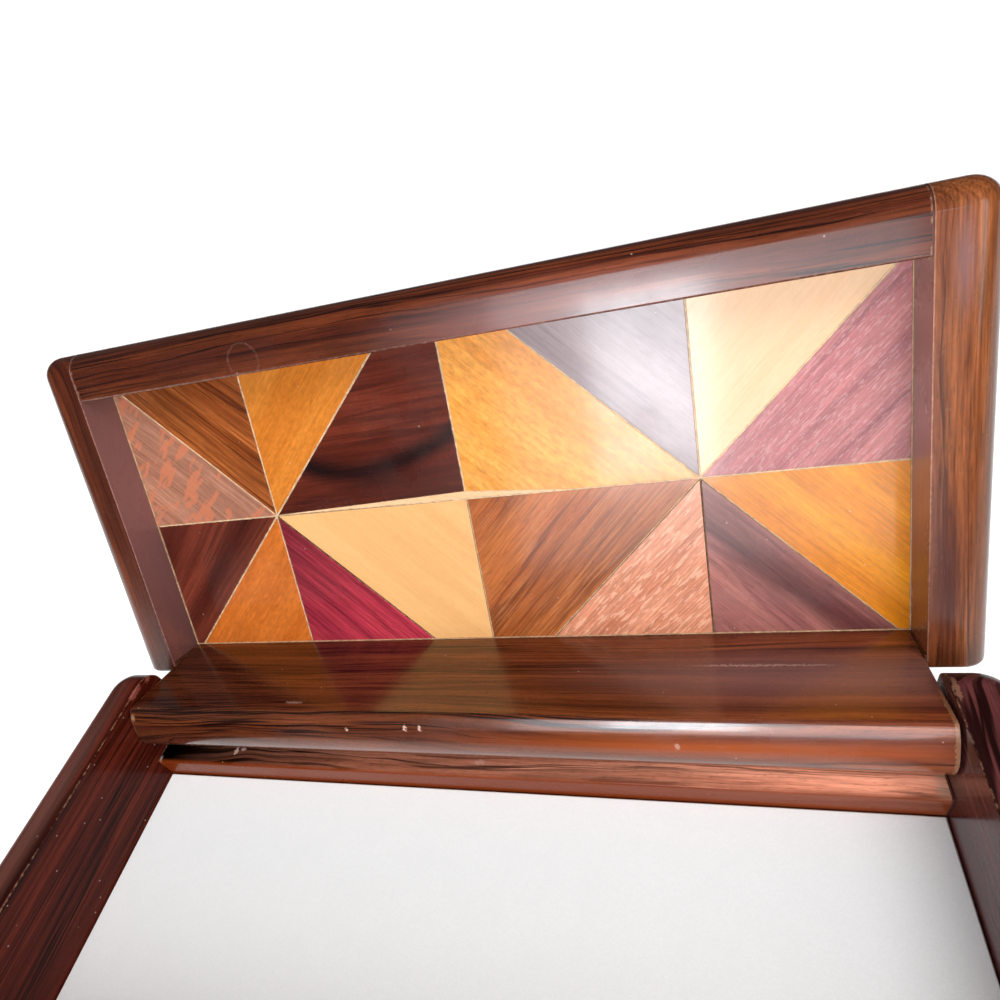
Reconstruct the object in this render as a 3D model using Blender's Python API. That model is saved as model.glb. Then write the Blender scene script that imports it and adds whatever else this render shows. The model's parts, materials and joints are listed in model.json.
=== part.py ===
"""Wooden trinket box with a marquetry lid that turns on two pins.

The box stands on the XY plane: +Z is up, +X is to the right and the hinge is at the back, +Y.
The origin is the centre of the box's underside. The lid's pieces are drawn shut, in box
coordinates, and hang on an empty at the pins that turns them open.
"""

import math

import bmesh
import bpy
from mathutils import Vector

MM = 0.001

# Clearances
GLUE_GAP = 0.3 * MM  # between pieces that are glued or laid together
TURN_GAP = 0.4 * MM  # from the turning rail to each side wall
RIM_GAP = 0.3 * MM  # from the box's rim to the shut lid
SWING_GAP = 0.7 * MM  # from the rail's round back to the back wall's top
STOP_GAP = 0.3 * MM  # from the open rail to the slope that it leans on
BORE_GAP = 0.3 * MM  # round a pin
OVERRUN = 2.0 * MM  # how far a cutter runs out past a face

# Marquetry, as it shows inside the frame
STAR_PITCH = 48.0 * MM  # from the middle line to each star
END_COLUMN = 35.5 * MM  # from a star to the frame's end rail
ROW_DEPTH = 33.5 * MM  # from the stars to the front rail, and to the hinge rail
DIAGONAL_REACH = 0.945  # share of an end column that each diagonal crosses
INLAY_THICKNESS = 4.0 * MM
INLAY_TUCK = 1.5 * MM  # how far the panel lies in the frame's rebate

# Lid frame
END_RAIL_WIDTH = 10.0 * MM
END_RAIL_TAIL = 3.0 * MM  # how far the end rails run on beside the hinge rail
END_RAIL_TAIL_RADIUS = 1.0 * MM
FRONT_RAIL_WIDTH = 10.5 * MM
LID_RECESS = 9.0 * MM  # from the frame's underside up to the rebate
LID_EDGE_RADIUS = 4.5 * MM

# Hinge
RAIL_FRONT = 8.5 * MM  # from the pins to the hinge rail's front face, at the panel
RAIL_SLOPE = 2.8 * MM  # how far that face leans in from the panel to the nose
RAIL_BACK = 7.0 * MM  # from the pins to its back face, and the radius of its round back edge
NOSE_RADIUS = 1.6 * MM
PIN_BELOW_RIM = 9.0 * MM
PIN_DIAMETER = 3.0 * MM
PIN_IN_RAIL = 8.0 * MM
PIN_SUNK = 0.5 * MM  # from the wall's outer face in to the pin's end
PIN_CHAMFER = 0.3 * MM
OPEN_ANGLE = math.radians(116.0)

# Box
WALL_HEIGHT = 28.0 * MM
FRONT_WALL_THICKNESS = 8.0 * MM
BOTTOM_THICKNESS = 4.0 * MM
BOTTOM_TUCK = 3.0 * MM  # how far the bottom lies in the walls' rebate
LINING_THICKNESS = 1.0 * MM
LINING_MARGIN = 0.3 * MM  # from the lining to the walls
CORNER_RADIUS = 5.5 * MM
RIM_RADIUS = 4.0 * MM
FOOT_RADIUS = 1.5 * MM

CORNER_STEPS = 5
EDGE_STEPS = 4
ARC_STEPS = 10
PIN_SIDES = 24

# Plan of the lid, worked out from the panel
OPENING_X = STAR_PITCH + END_COLUMN
OUTER_X = OPENING_X + END_RAIL_WIDTH
DEPTH = FRONT_RAIL_WIDTH + 2 * ROW_DEPTH + RAIL_FRONT + RAIL_BACK
FRONT_Y = -DEPTH / 2
BACK_Y = DEPTH / 2
OPENING_FRONT_Y = FRONT_Y + FRONT_RAIL_WIDTH
OPENING_BACK_Y = OPENING_FRONT_Y + 2 * ROW_DEPTH
STAR_Y = OPENING_FRONT_Y + ROW_DEPTH
PIN_Y = OPENING_BACK_Y + RAIL_FRONT
END_RAIL_BACK_Y = OPENING_BACK_Y + END_RAIL_TAIL

# Plan of the box
HINGE_RAIL_X = OPENING_X - GLUE_GAP
WALL_INNER_X = HINGE_RAIL_X + TURN_GAP
FRONT_WALL_INNER_Y = FRONT_Y + FRONT_WALL_THICKNESS
BACK_WALL_INNER_Y = OPENING_BACK_Y

# Heights
PIN_Z = WALL_HEIGHT - PIN_BELOW_RIM
LID_UNDER_Z = WALL_HEIGHT + RIM_GAP
REBATE_Z = LID_UNDER_Z + LID_RECESS
INLAY_Z = REBATE_Z + GLUE_GAP
LID_TOP_Z = INLAY_Z + INLAY_THICKNESS
LINING_Z = BOTTOM_THICKNESS + GLUE_GAP

# Heartwood and inlay colours, linear RGB, each with its roughness
WOODS = {
    "frame_wood": ((0.085, 0.022, 0.012), 0.22),
    "walnut": ((0.230, 0.095, 0.030), 0.22),
    "lacewood": ((0.420, 0.180, 0.100), 0.22),
    "golden_wood": ((0.700, 0.330, 0.060), 0.22),
    "cream_wood": ((0.780, 0.500, 0.190), 0.22),
    "dark_rosewood": ((0.045, 0.012, 0.008), 0.22),
    "grey_rosewood": ((0.190, 0.130, 0.125), 0.22),
    "purpleheart": ((0.190, 0.030, 0.045), 0.22),
    "felt": ((0.800, 0.780, 0.740), 0.95),
}


def clear_scene():
    for leftover in list(bpy.data.objects):
        bpy.data.objects.remove(leftover, do_unlink=True)


def make_material(name, colour, roughness, metallic=0.0):
    made = bpy.data.materials.new(name)
    made.use_nodes = True
    shader = made.node_tree.nodes["Principled BSDF"]
    shader.inputs["Base Color"].default_value = (*colour, 1.0)
    shader.inputs["Roughness"].default_value = roughness
    shader.inputs["Metallic"].default_value = metallic
    made.diffuse_color = (*colour, 1.0)
    return made


def add_object(name, shape, parent=None):
    """Turns a bmesh drawn in box coordinates into an object, hung on parent if there is one."""
    if parent is not None:
        bmesh.ops.translate(shape, verts=shape.verts, vec=-parent.location)
    bmesh.ops.recalc_face_normals(shape, faces=shape.faces)
    mesh = bpy.data.meshes.new(name)
    shape.to_mesh(mesh)
    shape.free()
    made = bpy.data.objects.new(name, mesh)
    bpy.context.collection.objects.link(made)
    made.parent = parent
    return made


def add_piece(name, shape, material, parent=None, smooth_angle=math.radians(30.0)):
    made = add_object(name, shape, parent)
    made.data.materials.append(material)
    made.data.shade_smooth()
    made.data.set_sharp_from_angle(angle=smooth_angle)
    return made


def add_cutter(name, shape, parent=None):
    made = add_object(name, shape, parent)
    made.hide_render = True
    made.display_type = "WIRE"
    return made


def cut(piece, cutter):
    modifier = piece.modifiers.new("cut " + cutter.name, "BOOLEAN")
    modifier.operation = "DIFFERENCE"
    modifier.object = cutter


def block(low, high):
    """A box between two opposite corners."""
    shape = bmesh.new()
    bmesh.ops.create_cube(shape, size=1.0)
    low = Vector(low)
    high = Vector(high)
    bmesh.ops.scale(shape, verts=shape.verts, vec=high - low)
    bmesh.ops.translate(shape, verts=shape.verts, vec=(low + high) / 2)
    return shape


def same(first, second):
    return abs(first - second) < GLUE_GAP / 100


def round_edges(shape, chosen, radius, steps):
    """Rounds the edges whose two ends pass the test chosen."""
    edges = [edge for edge in shape.edges if chosen(edge.verts[0].co, edge.verts[1].co)]
    bmesh.ops.bevel(
        shape,
        geom=edges,
        offset=radius,
        offset_type="OFFSET",
        segments=steps,
        profile=0.5,
        affect="EDGES",
        clamp_overlap=True,
    )


def extruded(outline, x_low, x_high):
    """A bar along X. Its outline is a list of (Y, Z) points."""
    shape = bmesh.new()
    ring = [shape.verts.new((x_low, y, z)) for y, z in outline]
    face = shape.faces.new(ring)
    swept = bmesh.ops.extrude_face_region(shape, geom=[face])
    moved = [item for item in swept["geom"] if isinstance(item, bmesh.types.BMVert)]
    bmesh.ops.translate(shape, verts=moved, vec=(x_high - x_low, 0, 0))
    return shape


def prism(outline, z_low, z_high):
    """A flat piece. Its outline is a list of (X, Y) points."""
    shape = bmesh.new()
    ring = [shape.verts.new((x, y, z_low)) for x, y in outline]
    face = shape.faces.new(ring)
    swept = bmesh.ops.extrude_face_region(shape, geom=[face])
    moved = [item for item in swept["geom"] if isinstance(item, bmesh.types.BMVert)]
    bmesh.ops.translate(shape, verts=moved, vec=(0, 0, z_high - z_low))
    return shape


def arc(centre, radius, start, end, steps=ARC_STEPS):
    """Points of an arc, both ends included, with angles in degrees from the outline's first axis."""
    points = []
    for step in range(steps + 1):
        angle = math.radians(start + (end - start) * step / steps)
        points.append((centre[0] + radius * math.cos(angle), centre[1] + radius * math.sin(angle)))
    return points


def rod(x_low, x_high, radius, chamfer=0.0):
    """A round bar along X on the hinge's axis."""
    shape = bmesh.new()
    profile = [(x_low, radius - chamfer), (x_low + chamfer, radius)]
    profile += [(x_high - chamfer, radius), (x_high, radius - chamfer)]
    if chamfer == 0.0:
        profile = [(x_low, radius), (x_high, radius)]
    rings = []
    for x, ring_radius in profile:
        ring = []
        for side in range(PIN_SIDES):
            angle = math.tau * side / PIN_SIDES
            y = PIN_Y + ring_radius * math.cos(angle)
            z = PIN_Z + ring_radius * math.sin(angle)
            ring.append(shape.verts.new((x, y, z)))
        rings.append(ring)
    for first, second in zip(rings, rings[1:]):
        for side in range(PIN_SIDES):
            following = (side + 1) % PIN_SIDES
            shape.faces.new((first[side], first[following], second[following], second[side]))
    shape.faces.new(rings[0])
    shape.faces.new(list(reversed(rings[-1])))
    return shape


def drawn_in(outline, amount):
    """The outline of a convex piece, drawn in by amount on every side."""
    area = 0.0
    for (x1, y1), (x2, y2) in zip(outline, outline[1:] + outline[:1]):
        area += x1 * y2 - x2 * y1
    turn = 1.0 if area > 0 else -1.0
    lines = []
    for (x1, y1), (x2, y2) in zip(outline, outline[1:] + outline[:1]):
        along = Vector((x2 - x1, y2 - y1)).normalized()
        inward = Vector((-along.y, along.x)) * turn
        lines.append((Vector((x1, y1)) + inward * amount, along))
    corners = []
    for (point_a, along_a), (point_b, along_b) in zip(lines[-1:] + lines[:-1], lines):
        across = along_a.x * along_b.y - along_a.y * along_b.x
        offset = point_b - point_a
        distance = (offset.x * along_b.y - offset.y * along_b.x) / across
        corners.append(tuple(point_a + along_a * distance))
    return corners


def make_side_wall(name, side, material, cutters):
    """side is -1 for the left wall and 1 for the right one."""
    inner = side * WALL_INNER_X
    outer = side * OUTER_X
    shape = block((min(inner, outer), FRONT_Y, 0), (max(inner, outer), BACK_Y, WALL_HEIGHT))
    round_edges(
        shape,
        lambda a, b: same(a.x, outer) and same(b.x, outer) and same(a.y, b.y),
        CORNER_RADIUS,
        CORNER_STEPS,
    )
    for height, radius in ((WALL_HEIGHT, RIM_RADIUS), (0, FOOT_RADIUS)):
        round_edges(
            shape,
            lambda a, b: same(a.z, height)
            and same(b.z, height)
            and not (same(a.x, inner) and same(b.x, inner)),
            radius,
            EDGE_STEPS,
        )
    made = add_piece(name, shape, material)
    for cutter in cutters:
        cut(made, cutter)


def make_front_wall(material, cutters):
    end_x = WALL_INNER_X - GLUE_GAP
    outline = [(FRONT_WALL_INNER_Y, 0), (FRONT_WALL_INNER_Y, WALL_HEIGHT)]
    outline += arc((FRONT_Y + RIM_RADIUS, WALL_HEIGHT - RIM_RADIUS), RIM_RADIUS, 90, 180, EDGE_STEPS)
    outline += arc((FRONT_Y + FOOT_RADIUS, FOOT_RADIUS), FOOT_RADIUS, 180, 270, EDGE_STEPS)
    made = add_piece("front_wall", extruded(outline, -end_x, end_x), material)
    for cutter in cutters:
        cut(made, cutter)


def make_back_wall(material, cutters):
    """The low wall under the hinge rail, with the slope that stops the open lid."""
    end_x = WALL_INNER_X - GLUE_GAP
    top_z = PIN_Z - RAIL_BACK - SWING_GAP
    lean = OPEN_ANGLE - math.pi / 2
    reach = RAIL_BACK + STOP_GAP
    slope_y = PIN_Y + ((PIN_Z - top_z) * math.cos(lean) - reach) / math.sin(lean)
    slope_z = PIN_Z - (reach + (BACK_Y - PIN_Y) * math.sin(lean)) / math.cos(lean)
    outline = [(BACK_WALL_INNER_Y, 0), (BACK_WALL_INNER_Y, top_z), (slope_y, top_z), (BACK_Y, slope_z)]
    outline += arc((BACK_Y - FOOT_RADIUS, FOOT_RADIUS), FOOT_RADIUS, 0, -90, EDGE_STEPS)
    made = add_piece("back_wall", extruded(outline, -end_x, end_x), material)
    for cutter in cutters:
        cut(made, cutter)


def make_bottom(wood, felt):
    tucked_x = WALL_INNER_X + BOTTOM_TUCK
    bottom = block(
        (-tucked_x, FRONT_WALL_INNER_Y - BOTTOM_TUCK, 0),
        (tucked_x, BACK_WALL_INNER_Y + BOTTOM_TUCK, BOTTOM_THICKNESS),
    )
    add_piece("bottom_panel", bottom, wood)
    lining_x = WALL_INNER_X - LINING_MARGIN
    lining = block(
        (-lining_x, FRONT_WALL_INNER_Y + LINING_MARGIN, LINING_Z),
        (lining_x, BACK_WALL_INNER_Y - LINING_MARGIN, LINING_Z + LINING_THICKNESS),
    )
    add_piece("floor_lining", lining, felt)


def make_end_rail(name, side, material, pivot, panel_seat):
    """An end of the lid's frame: side is -1 for the left rail and 1 for the right one."""
    inner = side * OPENING_X
    outer = side * OUTER_X
    shape = block(
        (min(inner, outer), FRONT_Y, LID_UNDER_Z),
        (max(inner, outer), END_RAIL_BACK_Y, LID_TOP_Z),
    )

    def at_inner(a, b):
        return same(a.x, inner) and same(b.x, inner)

    def at_tail(a, b):
        return same(a.y, END_RAIL_BACK_Y) and same(b.y, END_RAIL_BACK_Y)

    round_edges(
        shape,
        lambda a, b: same(a.x, outer) and same(b.x, outer) and same(a.y, FRONT_Y) and same(b.y, FRONT_Y),
        CORNER_RADIUS,
        CORNER_STEPS,
    )
    for height in (LID_UNDER_Z, LID_TOP_Z):
        round_edges(
            shape,
            lambda a, b: same(a.z, height)
            and same(b.z, height)
            and not at_inner(a, b)
            and not at_tail(a, b),
            LID_EDGE_RADIUS,
            EDGE_STEPS,
        )
    round_edges(
        shape,
        lambda a, b: at_tail(a, b) and not at_inner(a, b),
        END_RAIL_TAIL_RADIUS,
        EDGE_STEPS,
    )
    cut(add_piece(name, shape, material, pivot), panel_seat)


def make_front_rail(material, pivot, panel_seat):
    end_x = OPENING_X - GLUE_GAP
    centre_y = FRONT_Y + LID_EDGE_RADIUS
    outline = [(OPENING_FRONT_Y, LID_UNDER_Z), (OPENING_FRONT_Y, LID_TOP_Z)]
    outline += arc((centre_y, LID_TOP_Z - LID_EDGE_RADIUS), LID_EDGE_RADIUS, 90, 180, EDGE_STEPS)
    outline += arc((centre_y, LID_UNDER_Z + LID_EDGE_RADIUS), LID_EDGE_RADIUS, 180, 270, EDGE_STEPS)
    cut(add_piece("lid_front_rail", extruded(outline, -end_x, end_x), material, pivot), panel_seat)


def make_hinge_rail(material, pivot, cutters):
    """The thick rail that closes the back over the low wall and turns on the pins."""
    nose_z = PIN_Z - RAIL_BACK
    lean = math.degrees(math.atan2(RAIL_SLOPE, REBATE_Z - nose_z))
    nose = (OPENING_BACK_Y + RAIL_SLOPE + NOSE_RADIUS, nose_z + NOSE_RADIUS)
    outline = [(OPENING_BACK_Y, LID_TOP_Z), (OPENING_BACK_Y, REBATE_Z)]
    outline += arc(nose, NOSE_RADIUS, 180 + lean, 270, EDGE_STEPS)
    outline += arc((PIN_Y, PIN_Z), RAIL_BACK, 270, 360)
    back_edge = (BACK_Y - LID_EDGE_RADIUS, LID_TOP_Z - LID_EDGE_RADIUS)
    outline += arc(back_edge, LID_EDGE_RADIUS, 0, 90, EDGE_STEPS)
    made = add_piece("hinge_rail", extruded(outline, -HINGE_RAIL_X, HINGE_RAIL_X), material, pivot)
    for cutter in cutters:
        cut(made, cutter)


def make_pins(material):
    outer_end = OUTER_X - PIN_SUNK
    inner_end = OPENING_X - PIN_IN_RAIL
    radius = PIN_DIAMETER / 2
    add_piece("left_hinge_pin", rod(-outer_end, -inner_end, radius, PIN_CHAMFER), material)
    add_piece("right_hinge_pin", rod(inner_end, outer_end, radius, PIN_CHAMFER), material)


def inlay_outlines():
    """The sixteen pieces: name, wood, and outline in (X, Y), before the glue gaps are taken off."""
    edge_x = OPENING_X + INLAY_TUCK
    diagonal_x = DIAGONAL_REACH * (END_COLUMN + INLAY_TUCK)
    pieces = []
    rows = {
        "front": (
            -1,
            ("walnut", "lacewood"),
            ("golden_wood", "dark_rosewood"),
            ("grey_rosewood", "golden_wood"),
            ("cream_wood", "purpleheart"),
        ),
        "back": (
            1,
            ("golden_wood", "dark_rosewood"),
            ("purpleheart", "cream_wood"),
            ("lacewood", "walnut"),
            ("dark_rosewood", "golden_wood"),
        ),
    }
    for row, (way, *woods) in rows.items():
        edge_y = STAR_Y + way * (ROW_DEPTH + INLAY_TUCK)
        cells = (
            (-STAR_PITCH, -edge_x, -1),
            (-STAR_PITCH, 0.0, 1),
            (STAR_PITCH, 0.0, -1),
            (STAR_PITCH, edge_x, 1),
        )
        for number, (cell, (wedge_wood, field_wood)) in enumerate(zip(cells, woods), 1):
            star_x, far_x, heading = cell
            diagonal = (star_x + heading * diagonal_x, edge_y)
            star = (star_x, STAR_Y)
            wedge = [star, (star_x, edge_y), diagonal]
            field = [star, diagonal, (far_x, edge_y), (far_x, STAR_Y)]
            pieces.append((f"inlay_{row}_{number}_wedge", wedge_wood, wedge))
            pieces.append((f"inlay_{row}_{number}_field", field_wood, field))
    return pieces


def make_inlays(woods, pivot):
    for name, wood, outline in inlay_outlines():
        shape = prism(drawn_in(outline, GLUE_GAP / 2), INLAY_Z, LID_TOP_Z)
        add_piece(name, shape, woods[wood], pivot)


def main():
    clear_scene()
    woods = {name: make_material(name, *values) for name, values in WOODS.items()}
    steel = make_material("steel", (0.55, 0.54, 0.52), 0.3, 1.0)
    frame_wood = woods["frame_wood"]

    pivot = bpy.data.objects.new("lid_pivot", None)
    bpy.context.collection.objects.link(pivot)
    pivot.location = (0, PIN_Y, PIN_Z)
    pivot.rotation_euler.x = -OPEN_ANGLE

    seat_x = WALL_INNER_X + BOTTOM_TUCK + GLUE_GAP
    bottom_seat = add_cutter("bottom_seat", block(
        (-seat_x, FRONT_WALL_INNER_Y - BOTTOM_TUCK - GLUE_GAP, -OVERRUN),
        (seat_x, BACK_WALL_INNER_Y + BOTTOM_TUCK + GLUE_GAP, BOTTOM_THICKNESS + GLUE_GAP),
    ))
    rebate_x = OPENING_X + INLAY_TUCK + GLUE_GAP
    panel_seat = add_cutter("panel_seat", block(
        (-rebate_x, OPENING_FRONT_Y - INLAY_TUCK - GLUE_GAP, REBATE_Z),
        (rebate_x, OPENING_BACK_Y + INLAY_TUCK + GLUE_GAP, LID_TOP_Z + OVERRUN),
    ), pivot)
    bore_radius = PIN_DIAMETER / 2 + BORE_GAP
    bore_end = OPENING_X - PIN_IN_RAIL - GLUE_GAP
    left_bore = add_cutter("left_bore", rod(-OUTER_X - OVERRUN, -bore_end, bore_radius))
    right_bore = add_cutter("right_bore", rod(bore_end, OUTER_X + OVERRUN, bore_radius))

    make_side_wall("left_wall", -1, frame_wood, (bottom_seat, left_bore))
    make_side_wall("right_wall", 1, frame_wood, (bottom_seat, right_bore))
    make_front_wall(frame_wood, (bottom_seat,))
    make_back_wall(frame_wood, (bottom_seat,))
    make_bottom(frame_wood, woods["felt"])

    make_end_rail("lid_left_rail", -1, frame_wood, pivot, panel_seat)
    make_end_rail("lid_right_rail", 1, frame_wood, pivot, panel_seat)
    make_front_rail(frame_wood, pivot, panel_seat)
    make_hinge_rail(frame_wood, pivot, (panel_seat, left_bore, right_bore))
    make_inlays(woods, pivot)
    make_pins(steel)


main()
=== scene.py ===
"""Wooden trinket box with a marquetry lid, shown open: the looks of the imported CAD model.

Run in Blender as a script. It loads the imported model, models each piece again with finer edges
and its own wood, and sets up a plain floor, soft lights and the camera.
"""

import json
import math

import bpy
from bpy.props import FloatProperty, FloatVectorProperty, IntProperty, PointerProperty
from mathutils import Euler, Matrix, Vector

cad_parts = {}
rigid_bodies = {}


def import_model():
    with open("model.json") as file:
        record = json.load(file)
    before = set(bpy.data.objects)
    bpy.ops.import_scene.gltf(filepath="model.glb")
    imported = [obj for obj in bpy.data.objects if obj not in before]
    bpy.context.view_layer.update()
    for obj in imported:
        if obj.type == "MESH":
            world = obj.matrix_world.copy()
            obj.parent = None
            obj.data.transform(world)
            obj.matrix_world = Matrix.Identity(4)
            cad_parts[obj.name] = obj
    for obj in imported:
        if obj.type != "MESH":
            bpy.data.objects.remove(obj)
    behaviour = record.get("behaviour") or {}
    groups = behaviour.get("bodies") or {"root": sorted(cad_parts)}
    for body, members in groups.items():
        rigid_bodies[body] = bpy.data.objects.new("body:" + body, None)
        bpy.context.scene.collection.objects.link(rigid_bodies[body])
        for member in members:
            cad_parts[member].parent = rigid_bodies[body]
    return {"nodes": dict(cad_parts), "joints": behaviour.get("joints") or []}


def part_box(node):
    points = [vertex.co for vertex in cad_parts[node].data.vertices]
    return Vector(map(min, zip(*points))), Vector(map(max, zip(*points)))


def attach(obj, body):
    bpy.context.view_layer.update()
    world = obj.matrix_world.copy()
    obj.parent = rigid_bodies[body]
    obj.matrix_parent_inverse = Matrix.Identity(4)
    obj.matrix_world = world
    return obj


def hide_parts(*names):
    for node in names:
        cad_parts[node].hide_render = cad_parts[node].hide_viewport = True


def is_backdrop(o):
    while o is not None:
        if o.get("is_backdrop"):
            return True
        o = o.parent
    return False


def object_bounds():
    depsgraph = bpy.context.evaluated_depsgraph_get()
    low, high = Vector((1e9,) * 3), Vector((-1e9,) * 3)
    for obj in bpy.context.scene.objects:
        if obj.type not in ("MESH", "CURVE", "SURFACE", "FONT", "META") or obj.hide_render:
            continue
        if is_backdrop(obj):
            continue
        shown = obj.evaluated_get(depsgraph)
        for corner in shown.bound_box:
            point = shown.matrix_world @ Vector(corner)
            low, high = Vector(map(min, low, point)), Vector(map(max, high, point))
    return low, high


bl_info = {
    "name": "Marquetry Trinket Box",
    "version": (1, 0, 0),
    "blender": (4, 5, 0),
    "location": "View3D > Sidebar > Trinket Box",
    "description": "Models the woods, lining and hinge pins of a small box with a marquetry lid",
    "category": "Object",
}

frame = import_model()
CAD_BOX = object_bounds()

MM = 0.001

# Gaps in the model: in a glued joint, and round a pin
GLUE_GAP = 0.3 * MM
BORE_GAP = 0.3 * MM

# How far a cutter reaches past what it cuts
OVERRUN = 2.0 * MM

# The hinge, and the turn that opens the lid
HINGE = frame["joints"][0]
PIN = Vector(HINGE["pos_m"])
OPEN_ANGLE = math.radians(HINGE["range_deg"][1])
OPENED = (
    Matrix.Translation(PIN)
    @ Matrix.Rotation(-OPEN_ANGLE, 4, "X")
    @ Matrix.Translation(-PIN)
)
SHUT = OPENED.inverted()

# Each wood: linear RGB of its light, middle and dark parts, then the amounts of its figure
WOOD_COLUMNS = (
    "Light", "Middle", "Dark",
    "Spacing", "Lines", "Streaks", "Wander", "Fibre", "Mottle", "Pores", "Tone",
)
WOODS = {
    "frame_wood": (
        (0.165, 0.036, 0.011), (0.070, 0.012, 0.005), (0.010, 0.0015, 0.001),
        1.7, 0.95, 0.34, 1.1, 0.26, 0.10, 0.35, 0.24,
    ),
    "walnut": (
        (0.335, 0.084, 0.017), (0.195, 0.044, 0.009), (0.070, 0.013, 0.003),
        1.5, 0.45, 0.0, 0.7, 0.32, 0.05, 0.40, 0.16,
    ),
    "lacewood": (
        (0.560, 0.250, 0.150), (0.400, 0.150, 0.085), (0.240, 0.080, 0.045),
        1.6, 0.20, 0.05, 1.0, 0.30, 0.12, 0.25, 0.10,
    ),
    "golden_wood": (
        (0.630, 0.215, 0.030), (0.510, 0.150, 0.017), (0.330, 0.070, 0.006),
        3.0, 0.12, 0.0, 1.5, 0.12, 0.22, 0.16, 0.07,
    ),
    "cream_wood": (
        (0.800, 0.440, 0.175), (0.755, 0.395, 0.150), (0.640, 0.300, 0.090),
        2.5, 0.12, 0.0, 0.8, 0.05, 0.05, 0.08, 0.03,
    ),
    "dark_rosewood": (
        (0.150, 0.026, 0.012), (0.070, 0.010, 0.005), (0.010, 0.0025, 0.0025),
        3.2, 0.60, 0.45, 1.4, 0.22, 0.08, 0.25, 0.20,
    ),
    "grey_rosewood": (
        (0.330, 0.240, 0.240), (0.250, 0.165, 0.165), (0.070, 0.045, 0.060),
        4.0, 0.35, 0.15, 1.2, 0.12, 0.08, 0.25, 0.12,
    ),
    "purpleheart": (
        (0.380, 0.036, 0.048), (0.215, 0.014, 0.030), (0.070, 0.005, 0.014),
        1.3, 0.40, 0.10, 0.6, 0.30, 0.05, 0.30, 0.14,
    ),
}

# The marquetry: two stars of eight pieces. Each cell has its star, its row and the way its
# diagonal leaves the star.
STAR_X = 48.0 * MM
STAR_Y = -2.5 * MM
CELLS = {
    "front_1": (-STAR_X, -1, -1), "front_2": (-STAR_X, -1, 1),
    "front_3": (STAR_X, -1, -1), "front_4": (STAR_X, -1, 1),
    "back_1": (-STAR_X, 1, -1), "back_2": (-STAR_X, 1, 1),
    "back_3": (STAR_X, 1, -1), "back_4": (STAR_X, 1, 1),
}

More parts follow.
